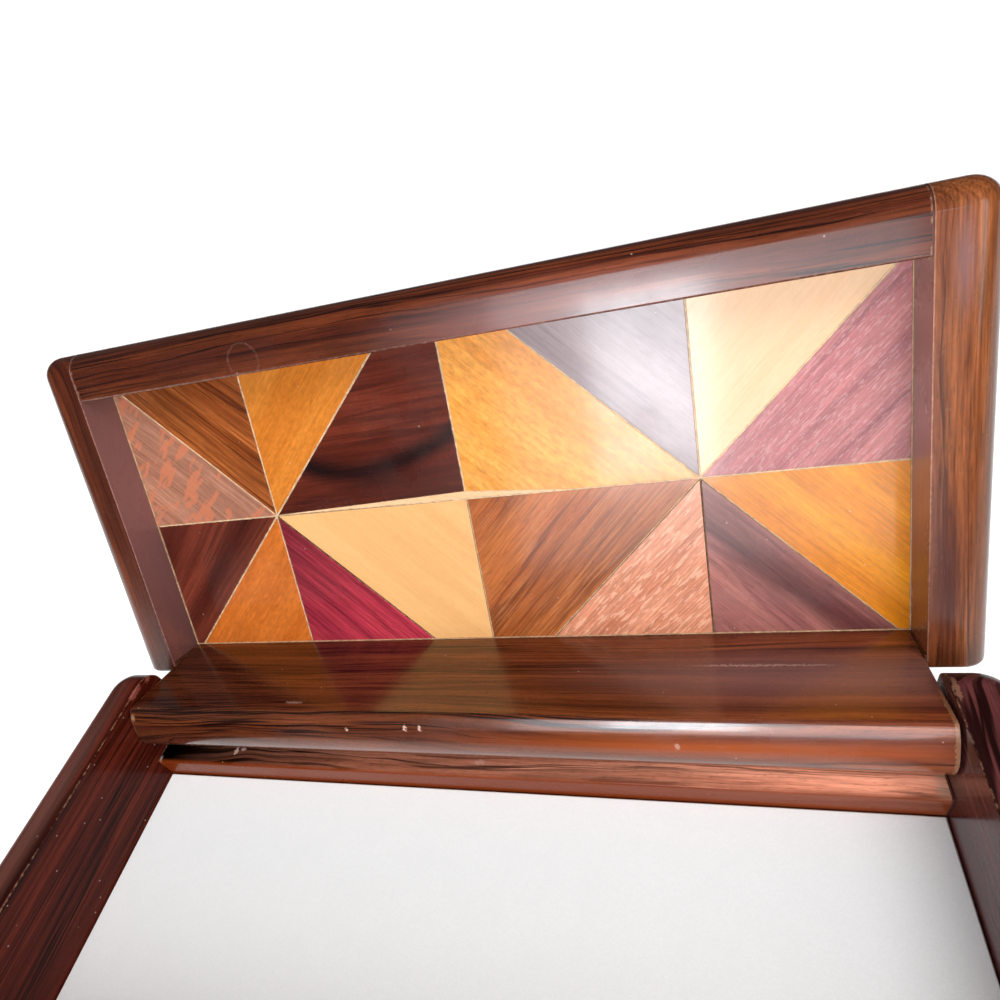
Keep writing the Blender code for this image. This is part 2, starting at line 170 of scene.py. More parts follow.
# Inlays: wood, seed of its figure and what sets this piece apart
INLAYS = {
    "inlay_front_1_wedge": ("walnut", 1.3, {
        "Light": (0.360, 0.100, 0.022), "Band": -6.0, "Band Width": 3.5, "Band Strength": 0.5,
        "Spacing": 0.9, "Lines": 0.75, "Fibre": 0.42,
    }),
    "inlay_front_1_field": ("lacewood", 2.1, {
        "Light": (0.420, 0.190, 0.120), "Middle": (0.300, 0.125, 0.078),
        "Fleck": (0.540, 0.170, 0.085), "Fleck Along": 0.50, "Fleck Across": 0.14,
        "Fleck Amount": 0.75, "Fleck Share": 0.54,
    }),
    "inlay_front_2_wedge": ("golden_wood", 3.7, {}),
    "inlay_front_2_field": ("dark_rosewood", 4.9, {
        "Way": (1.0, 0.0), "Start": (26.0, -8.3), "Band": 0.0, "Band Width": 3.0,
        "Band Bend": -1.3, "Band Strength": 1.0, "Streaks": 0.2, "Lines": 0.35,
    }),
    "inlay_front_3_wedge": ("grey_rosewood", 5.2, {"Edge": (0.10, 0.06, 0.06)}),
    "inlay_front_3_field": ("golden_wood", 6.4, {
        "Light": (0.820, 0.360, 0.070), "Middle": (0.700, 0.255, 0.038), "Mottle": 0.30,
    }),
    "inlay_front_4_wedge": ("cream_wood", 7.8, {
        "Light": (0.780, 0.500, 0.285), "Middle": (0.740, 0.455, 0.245),
        "Edge": (0.30, 0.17, 0.10),
    }),
    "inlay_front_4_field": ("purpleheart", 8.6, {
        "Light": (0.450, 0.150, 0.140), "Middle": (0.330, 0.090, 0.094),
        "Edge": (0.46, 0.24, 0.18), "Dark": (0.120, 0.020, 0.030), "Fleck": (0.60, 0.33, 0.32),
        "Fleck Along": 0.7, "Fleck Across": 3.6, "Fleck Amount": 0.40, "Fleck Share": 0.50,
    }),
    "inlay_back_1_wedge": ("golden_wood", 9.5, {
        "Light": (0.580, 0.150, 0.022), "Middle": (0.480, 0.112, 0.014),
    }),
    "inlay_back_1_field": ("dark_rosewood", 10.2, {
        "Spacing": 1.7, "Lines": 0.6, "Streaks": 0.35, "Wander": 0.6,
        "Light": (0.170, 0.032, 0.016),
    }),
    "inlay_back_2_wedge": ("purpleheart", 11.9, {
        "Light": (0.360, 0.030, 0.046), "Middle": (0.270, 0.020, 0.036), "Fade": 0.42,
        "Spacing": 0.7, "Tone": 0.06, "Fibre": 0.42,
    }),
    "inlay_back_2_field": ("cream_wood", 12.4, {}),
    "inlay_back_3_wedge": ("lacewood", 13.6, {
        "Edge": (0.46, 0.20, 0.12), "Light": (0.620, 0.250, 0.140),
        "Middle": (0.500, 0.170, 0.090), "Fleck": (0.800, 0.430, 0.280), "Fleck Along": 0.28,
        "Fleck Across": 1.4, "Fleck Amount": 0.65, "Fleck Share": 0.52,
    }),
    "inlay_back_3_field": ("walnut", 14.3, {
        "Edge": (0.36, 0.15, 0.07), "Light": (0.440, 0.128, 0.030),
        "Middle": (0.325, 0.078, 0.016), "Fleck": (0.54, 0.23, 0.09), "Fleck Along": 0.10,
        "Fleck Across": 3.2, "Fleck Amount": 0.30, "Fleck Share": 0.50,
    }),
    "inlay_back_4_wedge": ("dark_rosewood", 15.1, {
        "Edge": (0.22, 0.10, 0.07), "Light": (0.380, 0.140, 0.110),
        "Middle": (0.270, 0.085, 0.078), "Dark": (0.060, 0.012, 0.014), "Band": 4.2,
        "Band Width": 4.5, "Band Strength": 0.9, "Lines": 0.4, "Streaks": 0.0, "Wander": 0.8,
    }),
    "inlay_back_4_field": ("golden_wood", 16.7, {
        "Light": (0.740, 0.266, 0.008), "Middle": (0.620, 0.190, 0.005), "Fibre": 0.20,
        "Mottle": 0.14,
    }),
}

# What a piece of wood has when nothing sets it apart: no band, no tone slope and no flecks
PLAIN = {
    "Band": 0.0, "Band Width": 1.0, "Band Bend": 0.0, "Band Strength": 0.0, "Fade": 0.0,
    "Fleck": (0.5, 0.5, 0.5), "Fleck Along": 1.0, "Fleck Across": 1.0, "Fleck Amount": 0.0,
    "Fleck Share": 0.0,
}

# Colours of marks: chipped lacquer, and a painted reflection on the inner faces of the lid's end
# rails, on dark and on lighter wood
CHIP = (0.62, 0.40, 0.33)
PAINTED_REFLECTION_DARK = (0.30, 0.135, 0.125)
PAINTED_REFLECTION_WARM = (0.46, 0.190, 0.125)

# What sets the boards of the frame apart from each other: seed and changes. A mark has its centre
# and reach in mm, its kind, its amount and its colour. A chip is worn lacquer and a ring a stain;
# a soft patch lays colour on with a soft outline, mostly as a painted sheen, reflection or light.
# A dull one takes off gloss instead.
BOARDS = {
    "left_wall": (21.3, {
        "Light": (0.150, 0.022, 0.010), "Middle": (0.068, 0.009, 0.005), "Lines": 1.0,
        "Streaks": 0.08, "Spacing": 1.9, "Wander": 0.8, "Gloss": 0.25,
        "Marks": [
            ((-83.8, 40.0, 27.6), (0.5, 2.4, 0.8), "chip", 0.7, (0.42, 0.13, 0.10)),
            ((-83.9, 44.3, 26.8), (0.5, 1.2, 0.8), "chip", 0.7, (0.42, 0.13, 0.10)),
            # Painted sheen: a paler purple-grey along the wall's rounded top, where it catches the
            # light
            ((-88.5, 14.0, 28.0), (4.5, 44.0, 3.0), "soft_patch", 0.42, (0.190, 0.105, 0.085)),
        ],
    }),
    "right_wall": (22.9, {
        "Light": (0.165, 0.048, 0.044), "Middle": (0.090, 0.024, 0.024), "Gloss": 0.5,
        "Streaks": 0.15,
        "Marks": [((84.2, 42.0, 27.8), (0.5, 2.6, 0.8), "chip", 0.5, (0.34, 0.16, 0.10))],
    }),
    "front_wall": (23.4, {}),
    "back_wall": (24.8, {
        # Pale colours partly the wood's own and partly a painted sheen on the lit top; the slope
        # paints the right end lighter
        "Light": (0.740, 0.300, 0.190), "Middle": (0.470, 0.150, 0.084), "Fade": 0.20,
        "Wander": 1.6, "Spacing": 1.4, "Gloss": 0.2, "Streaks": 0.2,
        "Marks": [
            ((-62.1, 34.4, 11.3), (0.5, 0.9, 0.5), "chip", 0.8, CHIP),
            ((-60.3, 34.8, 11.3), (0.9, 0.4, 0.5), "chip", 0.6, CHIP),
            ((-0.6, 34.1, 11.3), (1.4, 0.5, 0.5), "chip", 0.35, CHIP),
            # Soft patches: pale spots at the two ends of the top, and the whole inner face made
            # darker
            ((-82.9, 31.6, 10.8), (0.5, 1.2, 1.4), "soft_patch", 0.8, (0.62, 0.48, 0.42)),
            ((82.5, 33.0, 11.3), (1.6, 3.6, 1.6), "soft_patch", 0.6, (0.55, 0.38, 0.28)),
            ((10.0, 30.9, 7.5), (400.0, 1.1, 24.0), "soft_patch", 1.0, (0.165, 0.026, 0.004)),
        ],
    }),
    "bottom_panel": (25.5, {}),
    "lid_left_rail": (26.2, {
        "Light": (0.140, 0.032, 0.011), "Middle": (0.060, 0.011, 0.005), "Streaks": 0.2,
        # Painted reflection on the rail's inner face, the left wall of the panel's recess
        "Marks": [((-83.5, 76.0, 55.0), (0.25, 80.0, 80.0), "soft_patch", 0.95, PAINTED_REFLECTION_DARK)],
    }),
    "lid_right_rail": (27.7, {
        "Light": (0.230, 0.068, 0.020), "Middle": (0.112, 0.027, 0.009), "Streaks": 0.10,
        "Lines": 0.85, "Spacing": 1.1, "Fibre": 0.45,
        "Marks": [
            ((89.0, 60.0, 38.0), (12.0, 22.0, 34.0), "dull", 0.8, None),
            # Painted reflection on the rail's inner face, and a painted highlight near its front
            # corner
            ((83.5, 76.0, 55.0), (0.25, 80.0, 80.0), "soft_patch", 0.8, PAINTED_REFLECTION_WARM),
            ((87.5, 80.5, 81.5), (2.2, 6.0, 12.0), "soft_patch", 0.5, (0.23, 0.13, 0.14)),
            # Soft patches that make the rail's lower part and its outer face darker
            ((86.0, 58.0, 36.0), (4.5, 16.0, 26.0), "soft_patch", 0.85, (0.060, 0.012, 0.008)),
            ((93.8, 70.0, 60.0), (4.6, 400.0, 400.0), "soft_patch", 0.85, (0.085, 0.024, 0.005)),
        ],
    }),
    "lid_front_rail": (28.1, {
        # The tone slope paints the rail lighter towards its right end, where more light falls
        "Light": (0.150, 0.032, 0.010), "Spacing": 1.3, "Gloss": 1.5, "Fade": 0.06,
        "Streaks": 0.16, "Lines": 1.0,
        "Marks": [
            ((-38.4, 82.1, 85.2), (3.6, 3.6, 3.6), "ring", 0.12, (0.40, 0.24, 0.20)),
            # Painted reflection: a pale pink sheen across the middle of the rail's face
            ((26.0, 82.1, 85.2), (42.0, 5.0, 7.0), "soft_patch", 0.32, (0.44, 0.20, 0.18)),
        ],
    }),
    "hinge_rail": (29.6, {
        # The tone slope paints the rail lighter towards its right end, where more light falls
        "Light": (0.205, 0.051, 0.016), "Middle": (0.094, 0.020, 0.008), "Fade": 0.08,
        "Wander": 1.6, "Spacing": 1.5, "Streaks": 0.2, "Lines": 1.0, "Gloss": 1.8,
        "Marks": [
            ((0.0, 49.0, 22.0), (260.0, 18.0, 9.0), "dull", 0.75, None),
            # Painted sheen on the right part of the rail's top, and painted light along the right
            # of the nose
            ((64.0, 44.0, 22.5), (56.0, 16.0, 4.0), "soft_patch", 0.80, (0.27, 0.140, 0.130)),
            ((48.0, 33.6, 22.0), (62.0, 1.6, 3.4), "soft_patch", 0.75, (0.400, 0.072, 0.004)),
            ((-12.7, 34.7, 24.4), (0.4, 0.6, 0.9), "chip", 0.9, CHIP),
            ((-9.4, 34.8, 24.4), (0.5, 0.6, 0.8), "chip", 0.9, CHIP),
            ((-26.1, 34.4, 24.0), (0.4, 0.4, 0.4), "chip", 0.9, CHIP),
            ((40.1, 33.4, 22.5), (0.45, 0.5, 0.7), "chip", 0.45, CHIP),
            ((56.0, 50.0, 22.1), (14.0, 0.3, 0.3), "chip", 0.45, CHIP),
            ((-40.0, 39.1, 26.0), (2.4, 0.35, 0.3), "chip", 0.4, CHIP),
            # A pale soft patch at the left end of the nose
            ((-82.6, 35.4, 25.0), (0.9, 1.2, 1.2), "soft_patch", 0.85, (0.50, 0.27, 0.14)),
            ((82.9, 36.0, 23.0), (0.45, 9.0, 9.0), "chip", 0.6, (0.42, 0.22, 0.12)),
        ],
    }),
}

# Which way the grain of each board runs: along X, along Y, and in the open lid's own plane
ALONG_X = (0.0, 0.0, 0.0)
ALONG_Y = (0.0, 0.0, math.radians(-90.0))
LID_ALONG_X = (OPEN_ANGLE, 0.0, 0.0)
LID_ALONG_Y = (OPEN_ANGLE, 0.0, math.radians(-90.0))

# The lacquer where nothing has worn it, and the dust in it
SPECULAR = 0.28
COAT = 0.40
COAT_ROUGHNESS = 0.12
DUST = (0.65, 0.52, 0.45)

# A hard mark is full within this share of its reach, and a soft one only at its centre
MARK_EDGE = 0.75

# Glue in the joints of the frame, stained by the wood
JOINT_GLUE = (0.105, 0.038, 0.022)

# Worn edges: their width, and how broken up they are
BOARD_WEAR = (0.5 * MM, 0.7)
INLAY_WEAR = (0.18 * MM, 0.65)
SPLICE_WEAR = (0.25 * MM, 0.9)

# The hinge rail's front, seen from its end: how far it leans out below the panel, and the
# corners of its nose, each along Y and Z from the foot of that slope
RAIL_LEAN = 2.8 * MM
NOSE_HEIGHT = 1.0 * MM
NOSE_CORNERS = ((0.47 * MM, 0.61 * MM), (2.35 * MM, 0.0))
NOSE_RADII = (0.3 * MM, 1.1 * MM)

# The cream splice along the centre line, which fills where two pieces were cut short: the
# corners of its outline in the lid's plane, in mm
SPLICE = ((-47.4, -0.16), (0.0, -1.75), (23.0, -0.16))

# Glue: how deep the lines lie in the marquetry, how wide the bead round it shows, and how far
# the films in the butt joints stay inside the wood
SUNK = 0.05 * MM
BEAD_SHOWS = 0.12 * MM
FILM_INSET = 0.12 * MM

# The stage: place, target, width, height, power and colour of each soft light
AREA_LIGHTS = {
    "window_light": (
        (0.015, -0.35, 0.205), (0.045, 0.085, 0.07), 0.10, 0.17, 0.75, (0.90, 0.95, 1.0),
    ),
    "wide_light": (
        (0.05, -0.36, 0.19), (0.05, 0.085, 0.08), 0.34, 0.28, 1.08, (0.93, 0.95, 1.0),
    ),
    "side_light": (
        (0.40, -0.26, 0.30), (0.07, 0.05, 0.04), 0.22, 0.22, 0.5, (1.0, 0.98, 0.95),
    ),
}
SUN_TURN = (math.radians(23.0), math.radians(16.0), 0.0)
SUN_POWER = 1.8
SUN_WIDTH = math.radians(40.0)
WORLD_LIGHT = 0.07
WORLD_SEEN = 1.05
FLOOR_SIZE = 80.0
FLOOR_DROP = 0.2 * MM
FLOOR_GLOW = 0.55
CAMERA_PLACE = (0.047689, -0.019939, 0.135543)
CAMERA_TURN = (0.829765, 0.270352, 0.164667)
CAMERA_LENS = 22.965


def size_mm(name, description, default, low, high, precision=4):
    """A length that a user may change, with its default and limits in mm."""
    return FloatProperty(
        name=name, description=description, default=default * MM, min=low * MM, max=high * MM,
        precision=precision, unit="LENGTH",
    )


def tint(name, description, default):
    """A colour that a user may change."""
    return FloatVectorProperty(
        name=name, description=description, default=default, size=3, min=0.0, max=1.0,
        subtype="COLOR",
    )


class TRINKETBOX_PG_sizes(bpy.types.PropertyGroup):
    """Sizes of the box's edges that a user would change"""

    lid_edge: size_mm("Lid Edge Radius", "Radius of the lid frame's outer edges", 4.5, 0.5, 6.0)
    corner: size_mm("Corner Radius", "Radius of the upright corners of the box", 5.5, 1.0, 9.0)
    lid_corner: size_mm(
        "Lid Corner Radius",
        "Radius of the lid's front corners, seen from above. More than the lid edge radius",
        4.6, 0.6, 9.0,
    )
    rim: size_mm("Rim Radius", "Radius of the outer edge of the box's rim", 4.0, 0.5, 6.0)
    foot: size_mm("Foot Radius", "Radius of the edges that the box stands on", 1.5, 0.2, 3.0)
    nose: size_mm("Nose Radius", "Radius of the front edge of the hinge rail", 0.3, 0.1, 0.6, 5)
    tail: size_mm(
        "Tail Radius", "Radius of the edges at the back ends of the lid's end rails", 1.0, 0.2, 2.0
    )
    worn: size_mm(
        "Worn Edge Radius", "Radius that handling has given to the sharp inner edges",
        0.45, 0.05, 1.0, 5,
    )
    inlay: size_mm(
        "Inlay Edge", "Width of the fine edge round each piece of the inlay", 0.08, 0.01, 0.3, 5
    )
    steps: IntProperty(
        name="Steps", description="Number of faces across each rounded edge",
        default=8, min=2, max=24,
    )


class TRINKETBOX_PG_finish(bpy.types.PropertyGroup):
    """Colours and gloss that a user would change"""

    glue: tint("Glue Line", "Colour of the pale lines between the woods", (0.74, 0.50, 0.29))
    bare: tint(
        "Worn Wood", "Colour of the wood where the lacquer is worn off an edge", (0.42, 0.22, 0.13)
    )
    felt: tint("Felt", "Colour of the lining on the box's floor", (0.95, 0.947, 0.935))
    steel: tint("Steel", "Colour of the hinge pins", (0.55, 0.54, 0.52))
    gloss: FloatProperty(
        name="Lacquer Roughness", description="Roughness of the lacquer where it isn't scuffed",
        default=0.24, min=0.02, max=0.6, subtype="FACTOR",
    )


# Modelling


def pick_only(piece):
    """Leaves object mode with this piece alone selected and active."""
    if bpy.context.object and bpy.context.object.mode != "OBJECT":
        bpy.ops.object.mode_set(mode="OBJECT")
    bpy.ops.object.select_all(action="DESELECT")
    piece.select_set(True)
    bpy.context.view_layer.objects.active = piece


def settle(piece, name=None):
    """Moves the piece's place, turn and scale into its mesh, and names it."""
    pick_only(piece)
    bpy.ops.object.transform_apply(location=True, rotation=True, scale=True)
    if name:
        piece.name = name
        piece.data.name = name
    return piece


def add_block(name, low, high):
    """A squared block between two opposite corners, ready to be shaped."""
    low, high = Vector(low), Vector(high)
    bpy.ops.object.select_all(action="DESELECT")
    bpy.ops.mesh.primitive_cube_add(size=1.0, location=(low + high) / 2, scale=high - low)
    return settle(bpy.context.object, name)


def add_rod(name, low_x, high_x, radius):
    """A round bar along the hinge's axis."""
    bpy.ops.object.select_all(action="DESELECT")
    bpy.ops.mesh.primitive_cylinder_add(
        vertices=48,
        radius=radius,
        depth=high_x - low_x,
        location=((low_x + high_x) / 2, PIN.y, PIN.z),
        rotation=(0.0, math.pi / 2, 0.0),
    )
    return settle(bpy.context.object, name)


def same(first, second):
    """True if two places along an axis are one, but for rounding."""
    return abs(first - second) < 0.01 * MM


def at(x=None, y=None, z=None):
    """A test for edges, passed by those with both ends at this x, y and z. With none of them
    given, every edge passes."""
    places = [(axis, place) for axis, place in enumerate((x, y, z)) if place is not None]
    return lambda a, b: all(same(end[axis], place) for end in (a, b) for axis, place in places)


def inner_and_outer(side, low, high):
    """The x of a piece's inner and outer faces. Side is -1 on the left and 1 on the right."""
    return (low.x, high.x) if side > 0 else (high.x, low.x)


def round_edges(piece, chosen, radius, steps):
    """Rounds the edges whose two ends pass the test chosen."""
    pick_only(piece)
    bpy.ops.object.mode_set(mode="EDIT")
    bpy.ops.mesh.select_mode(type="EDGE")
    bpy.ops.mesh.select_all(action="DESELECT")
    bpy.ops.object.mode_set(mode="OBJECT")
    corners = piece.data.vertices
    for edge in piece.data.edges:
        first, second = (corners[index].co for index in edge.vertices)
        edge.select = bool(chosen(first, second))
    if not any(edge.select for edge in piece.data.edges):
        raise RuntimeError("no edge of " + piece.name + " was found to round")
    bpy.ops.object.mode_set(mode="EDIT")
    bpy.ops.mesh.bevel(
        offset_type="OFFSET", offset=radius, segments=steps, profile=0.5, affect="EDGES",
        clamp_overlap=True,
    )
    bpy.ops.object.mode_set(mode="OBJECT")


def slice_off(piece, point, normal):
    """Planes the piece along a flat and drops the side that the normal points to."""
    pick_only(piece)
    bpy.ops.object.mode_set(mode="EDIT")
    bpy.ops.mesh.select_all(action="SELECT")
    bpy.ops.mesh.bisect(
        plane_co=point, plane_no=normal, use_fill=True, clear_inner=False, clear_outer=True
    )
    bpy.ops.object.mode_set(mode="OBJECT")


def cut_away(piece, cutter):
    """Cuts the cutter's shape out of the piece, and deletes the cutter."""
    pick_only(piece)
    cut = piece.modifiers.new("cut", "BOOLEAN")
    cut.operation = "DIFFERENCE"
    cut.solver = "EXACT"
    cut.object = cutter
    bpy.ops.object.modifier_apply(modifier=cut.name)
    bpy.data.objects.remove(cutter, do_unlink=True)


def join_pieces(name, pieces):
    """Makes several pieces one mesh."""
    pick_only(pieces[0])
    for piece in pieces[1:]:
        piece.select_set(True)
    bpy.ops.object.join()
    return settle(pieces[0], name)


def turn_open(piece):
    """Turns a piece of the lid, modelled shut, to where it is when the lid is open."""
    piece.matrix_world = OPENED
    settle(piece)


def polish(piece):
    """Smooth shading over rounded edges, with the flats kept flat."""
    pick_only(piece)
    bpy.ops.object.shade_smooth_by_angle(angle=math.radians(35.0))
    flats = piece.modifiers.new("flats", "WEIGHTED_NORMAL")
    flats.mode = "FACE_AREA"
    flats.weight = 80
    flats.keep_sharp = True
    bpy.ops.object.modifier_apply(modifier=flats.name)


def copy_of(node, name):
    """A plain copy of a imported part, its faces joined and its flats whole."""
    pick_only(frame["nodes"][node])
    bpy.ops.object.duplicate()
    copy = bpy.context.object
    for key in list(copy.keys()):
        del copy[key]
    bpy.ops.object.parent_clear(type="CLEAR_KEEP_TRANSFORM")
    settle(copy, name)
    bpy.ops.object.mode_set(mode="EDIT")
    bpy.ops.mesh.select_all(action="SELECT")
    bpy.ops.mesh.remove_doubles(threshold=0.001 * MM)
    bpy.ops.mesh.dissolve_limited(angle_limit=math.radians(1.0))
    bpy.ops.mesh.select_all(action="SELECT")
    bpy.ops.mesh.normals_make_consistent(inside=False)
    bpy.ops.object.mode_set(mode="OBJECT")
    return copy


def shut_box(*nodes):
    """Lowest and highest corners of nodes of the lid, as they are when it is shut."""
    places = [SHUT @ corner.co for node in nodes for corner in frame["nodes"][node].data.vertices]
    low = Vector([min(place[axis] for place in places) for axis in range(3)])
    high = Vector([max(place[axis] for place in places) for axis in range(3)])
    return low, high


def cut_bottom_seat(wall):
    """Cuts the rebate that the bottom panel is let into from below."""
    low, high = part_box("bottom_panel")
    cut_away(wall, add_block(
        "seat",
        low - Vector((GLUE_GAP, GLUE_GAP, OVERRUN)),
        high + Vector((GLUE_GAP, GLUE_GAP, GLUE_GAP)),
    ))


def cut_panel_seat(rail):
    """Cuts the rebate that holds the marquetry panel."""
    low, high = shut_box(*INLAYS)
    reach = Vector((1.5 * GLUE_GAP, 1.5 * GLUE_GAP, GLUE_GAP))
    cut_away(rail, add_block("seat", low - reach, high + Vector((reach.x, reach.y, OVERRUN))))


def cut_bore(piece, pin, low_x, high_x):
    """Drills the hole for a pin."""
    low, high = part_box(pin)
    cut_away(piece, add_rod("bore", low_x, high_x, (high.y - low.y) / 2 + BORE_GAP))


def slice_stop(piece, clearance):
    """Planes the slope that stops the open lid, this far from the hinge rail's back."""
    back = Matrix.Rotation(-OPEN_ANGLE, 3, "X") @ Vector((0.0, 1.0, 0.0))
    reach = shut_box("hinge_rail")[1].y - PIN.y + clearance
    slice_off(piece, PIN + back * reach, -back)


def finish_piece(piece, material, body, node=None, slot=None):
    """Polishes a piece, gives it its material, and says what it rides on and replaces."""
    polish(piece)
    piece.data.materials.clear()
    piece.data.materials.append(material)
    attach(piece, body)
    if node:
        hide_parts(node)


# Materials


class Bench:
    """Adds nodes to one node tree, each with its settings and what feeds it."""

    def __init__(self, tree):
        self.tree = tree

    def feed(self, node, feeds):
        """Links each named socket to what feeds it, or sets a plain value on it."""
        for name, value in feeds.items():
            socket = node.inputs[name]
            if isinstance(value, bpy.types.NodeSocket):
                self.tree.links.new(value, socket)
            elif socket.type == "RGBA" and len(value) == 3:
                socket.default_value = (*value, 1.0)
            else:
                socket.default_value = value

    def add(self, kind, feeds=None, **settings):
        """A new node of this kind, with its settings and feeds."""
        node = self.tree.nodes.new("ShaderNode" + kind)
        for name, value in settings.items():
            setattr(node, name, value)
        self.feed(node, feeds or {})
        return node

    def math(self, operation, first, second=0.0, clamp=False):
        node = self.add("Math", {0: first, 1: second}, operation=operation, use_clamp=clamp)
        return node.outputs[0]

    def times(self, first, second, clamp=False):
        return self.math("MULTIPLY", first, second, clamp)

    def plus(self, first, second, clamp=False):
        return self.math("ADD", first, second, clamp)

    def minus(self, first, second):
        return self.math("SUBTRACT", first, second)

    def vector(self, operation, first, second=(0.0, 0.0, 0.0), output=0):
        node = self.add("VectorMath", {0: first, 1: second}, operation=operation)
        return node.outputs[output]

    def stretch(self, vector, amounts):
        """The vector with each axis multiplied by its own number."""
        return self.vector("MULTIPLY", vector, amounts)

    def scale(self, vector, amount):
        """The vector multiplied by one number."""
        feeds = {0: vector, "Scale": amount}
        return self.add("VectorMath", feeds, operation="SCALE").outputs[0]

    def noise(self, vector, scale=1.0, detail=2.0, roughness=0.5, output=0):
        feeds = {"Vector": vector, "Scale": scale, "Detail": detail, "Roughness": roughness}
        return self.add("TexNoise", feeds).outputs[output]

    def ramp(self, value, low, high, start=0.0, end=1.0):
        """Value from low to high, brought smoothly to start to end."""
        feeds = {"Value": value, "From Min": low, "From Max": high, "To Min": start, "To Max": end}
        return self.add("MapRange", feeds, interpolation_type="SMOOTHSTEP").outputs[0]

    def mix(self, factor, first, second, blend="MIX"):
        feeds = {0: factor, 6: first, 7: second}
        return self.add("Mix", feeds, data_type="RGBA", blend_type=blend).outputs[2]

    def effect(self, name, feeds=None):
        """A shared node group, built when it is first asked for."""
        group = bpy.data.node_groups.get(name) or EFFECTS[name](name)
        return self.add("Group", feeds, node_tree=group)

    def bump(self, shader, height, strength, distance):
        """Raises and sinks the surface with the height, by up to the distance."""
        feeds = {"Height": height, "Strength": strength, "Distance": distance}
        self.feed(shader, {"Normal": self.add("Bump", feeds).outputs[0]})


def new_group(name, inputs, outputs):
    """An empty node group with named sockets. Returns it, its bench, what comes in and the node
    that lets it out."""
    group = bpy.data.node_groups.new(name, "ShaderNodeTree")
    for in_out, sockets in (("INPUT", inputs), ("OUTPUT", outputs)):
        for socket, kind in sockets.items():
            group.interface.new_socket(name=socket, in_out=in_out, socket_type="NodeSocket" + kind)
    entry = group.nodes.new("NodeGroupInput").outputs
    leave = group.nodes.new("NodeGroupOutput")
    return group, Bench(group), entry, leave


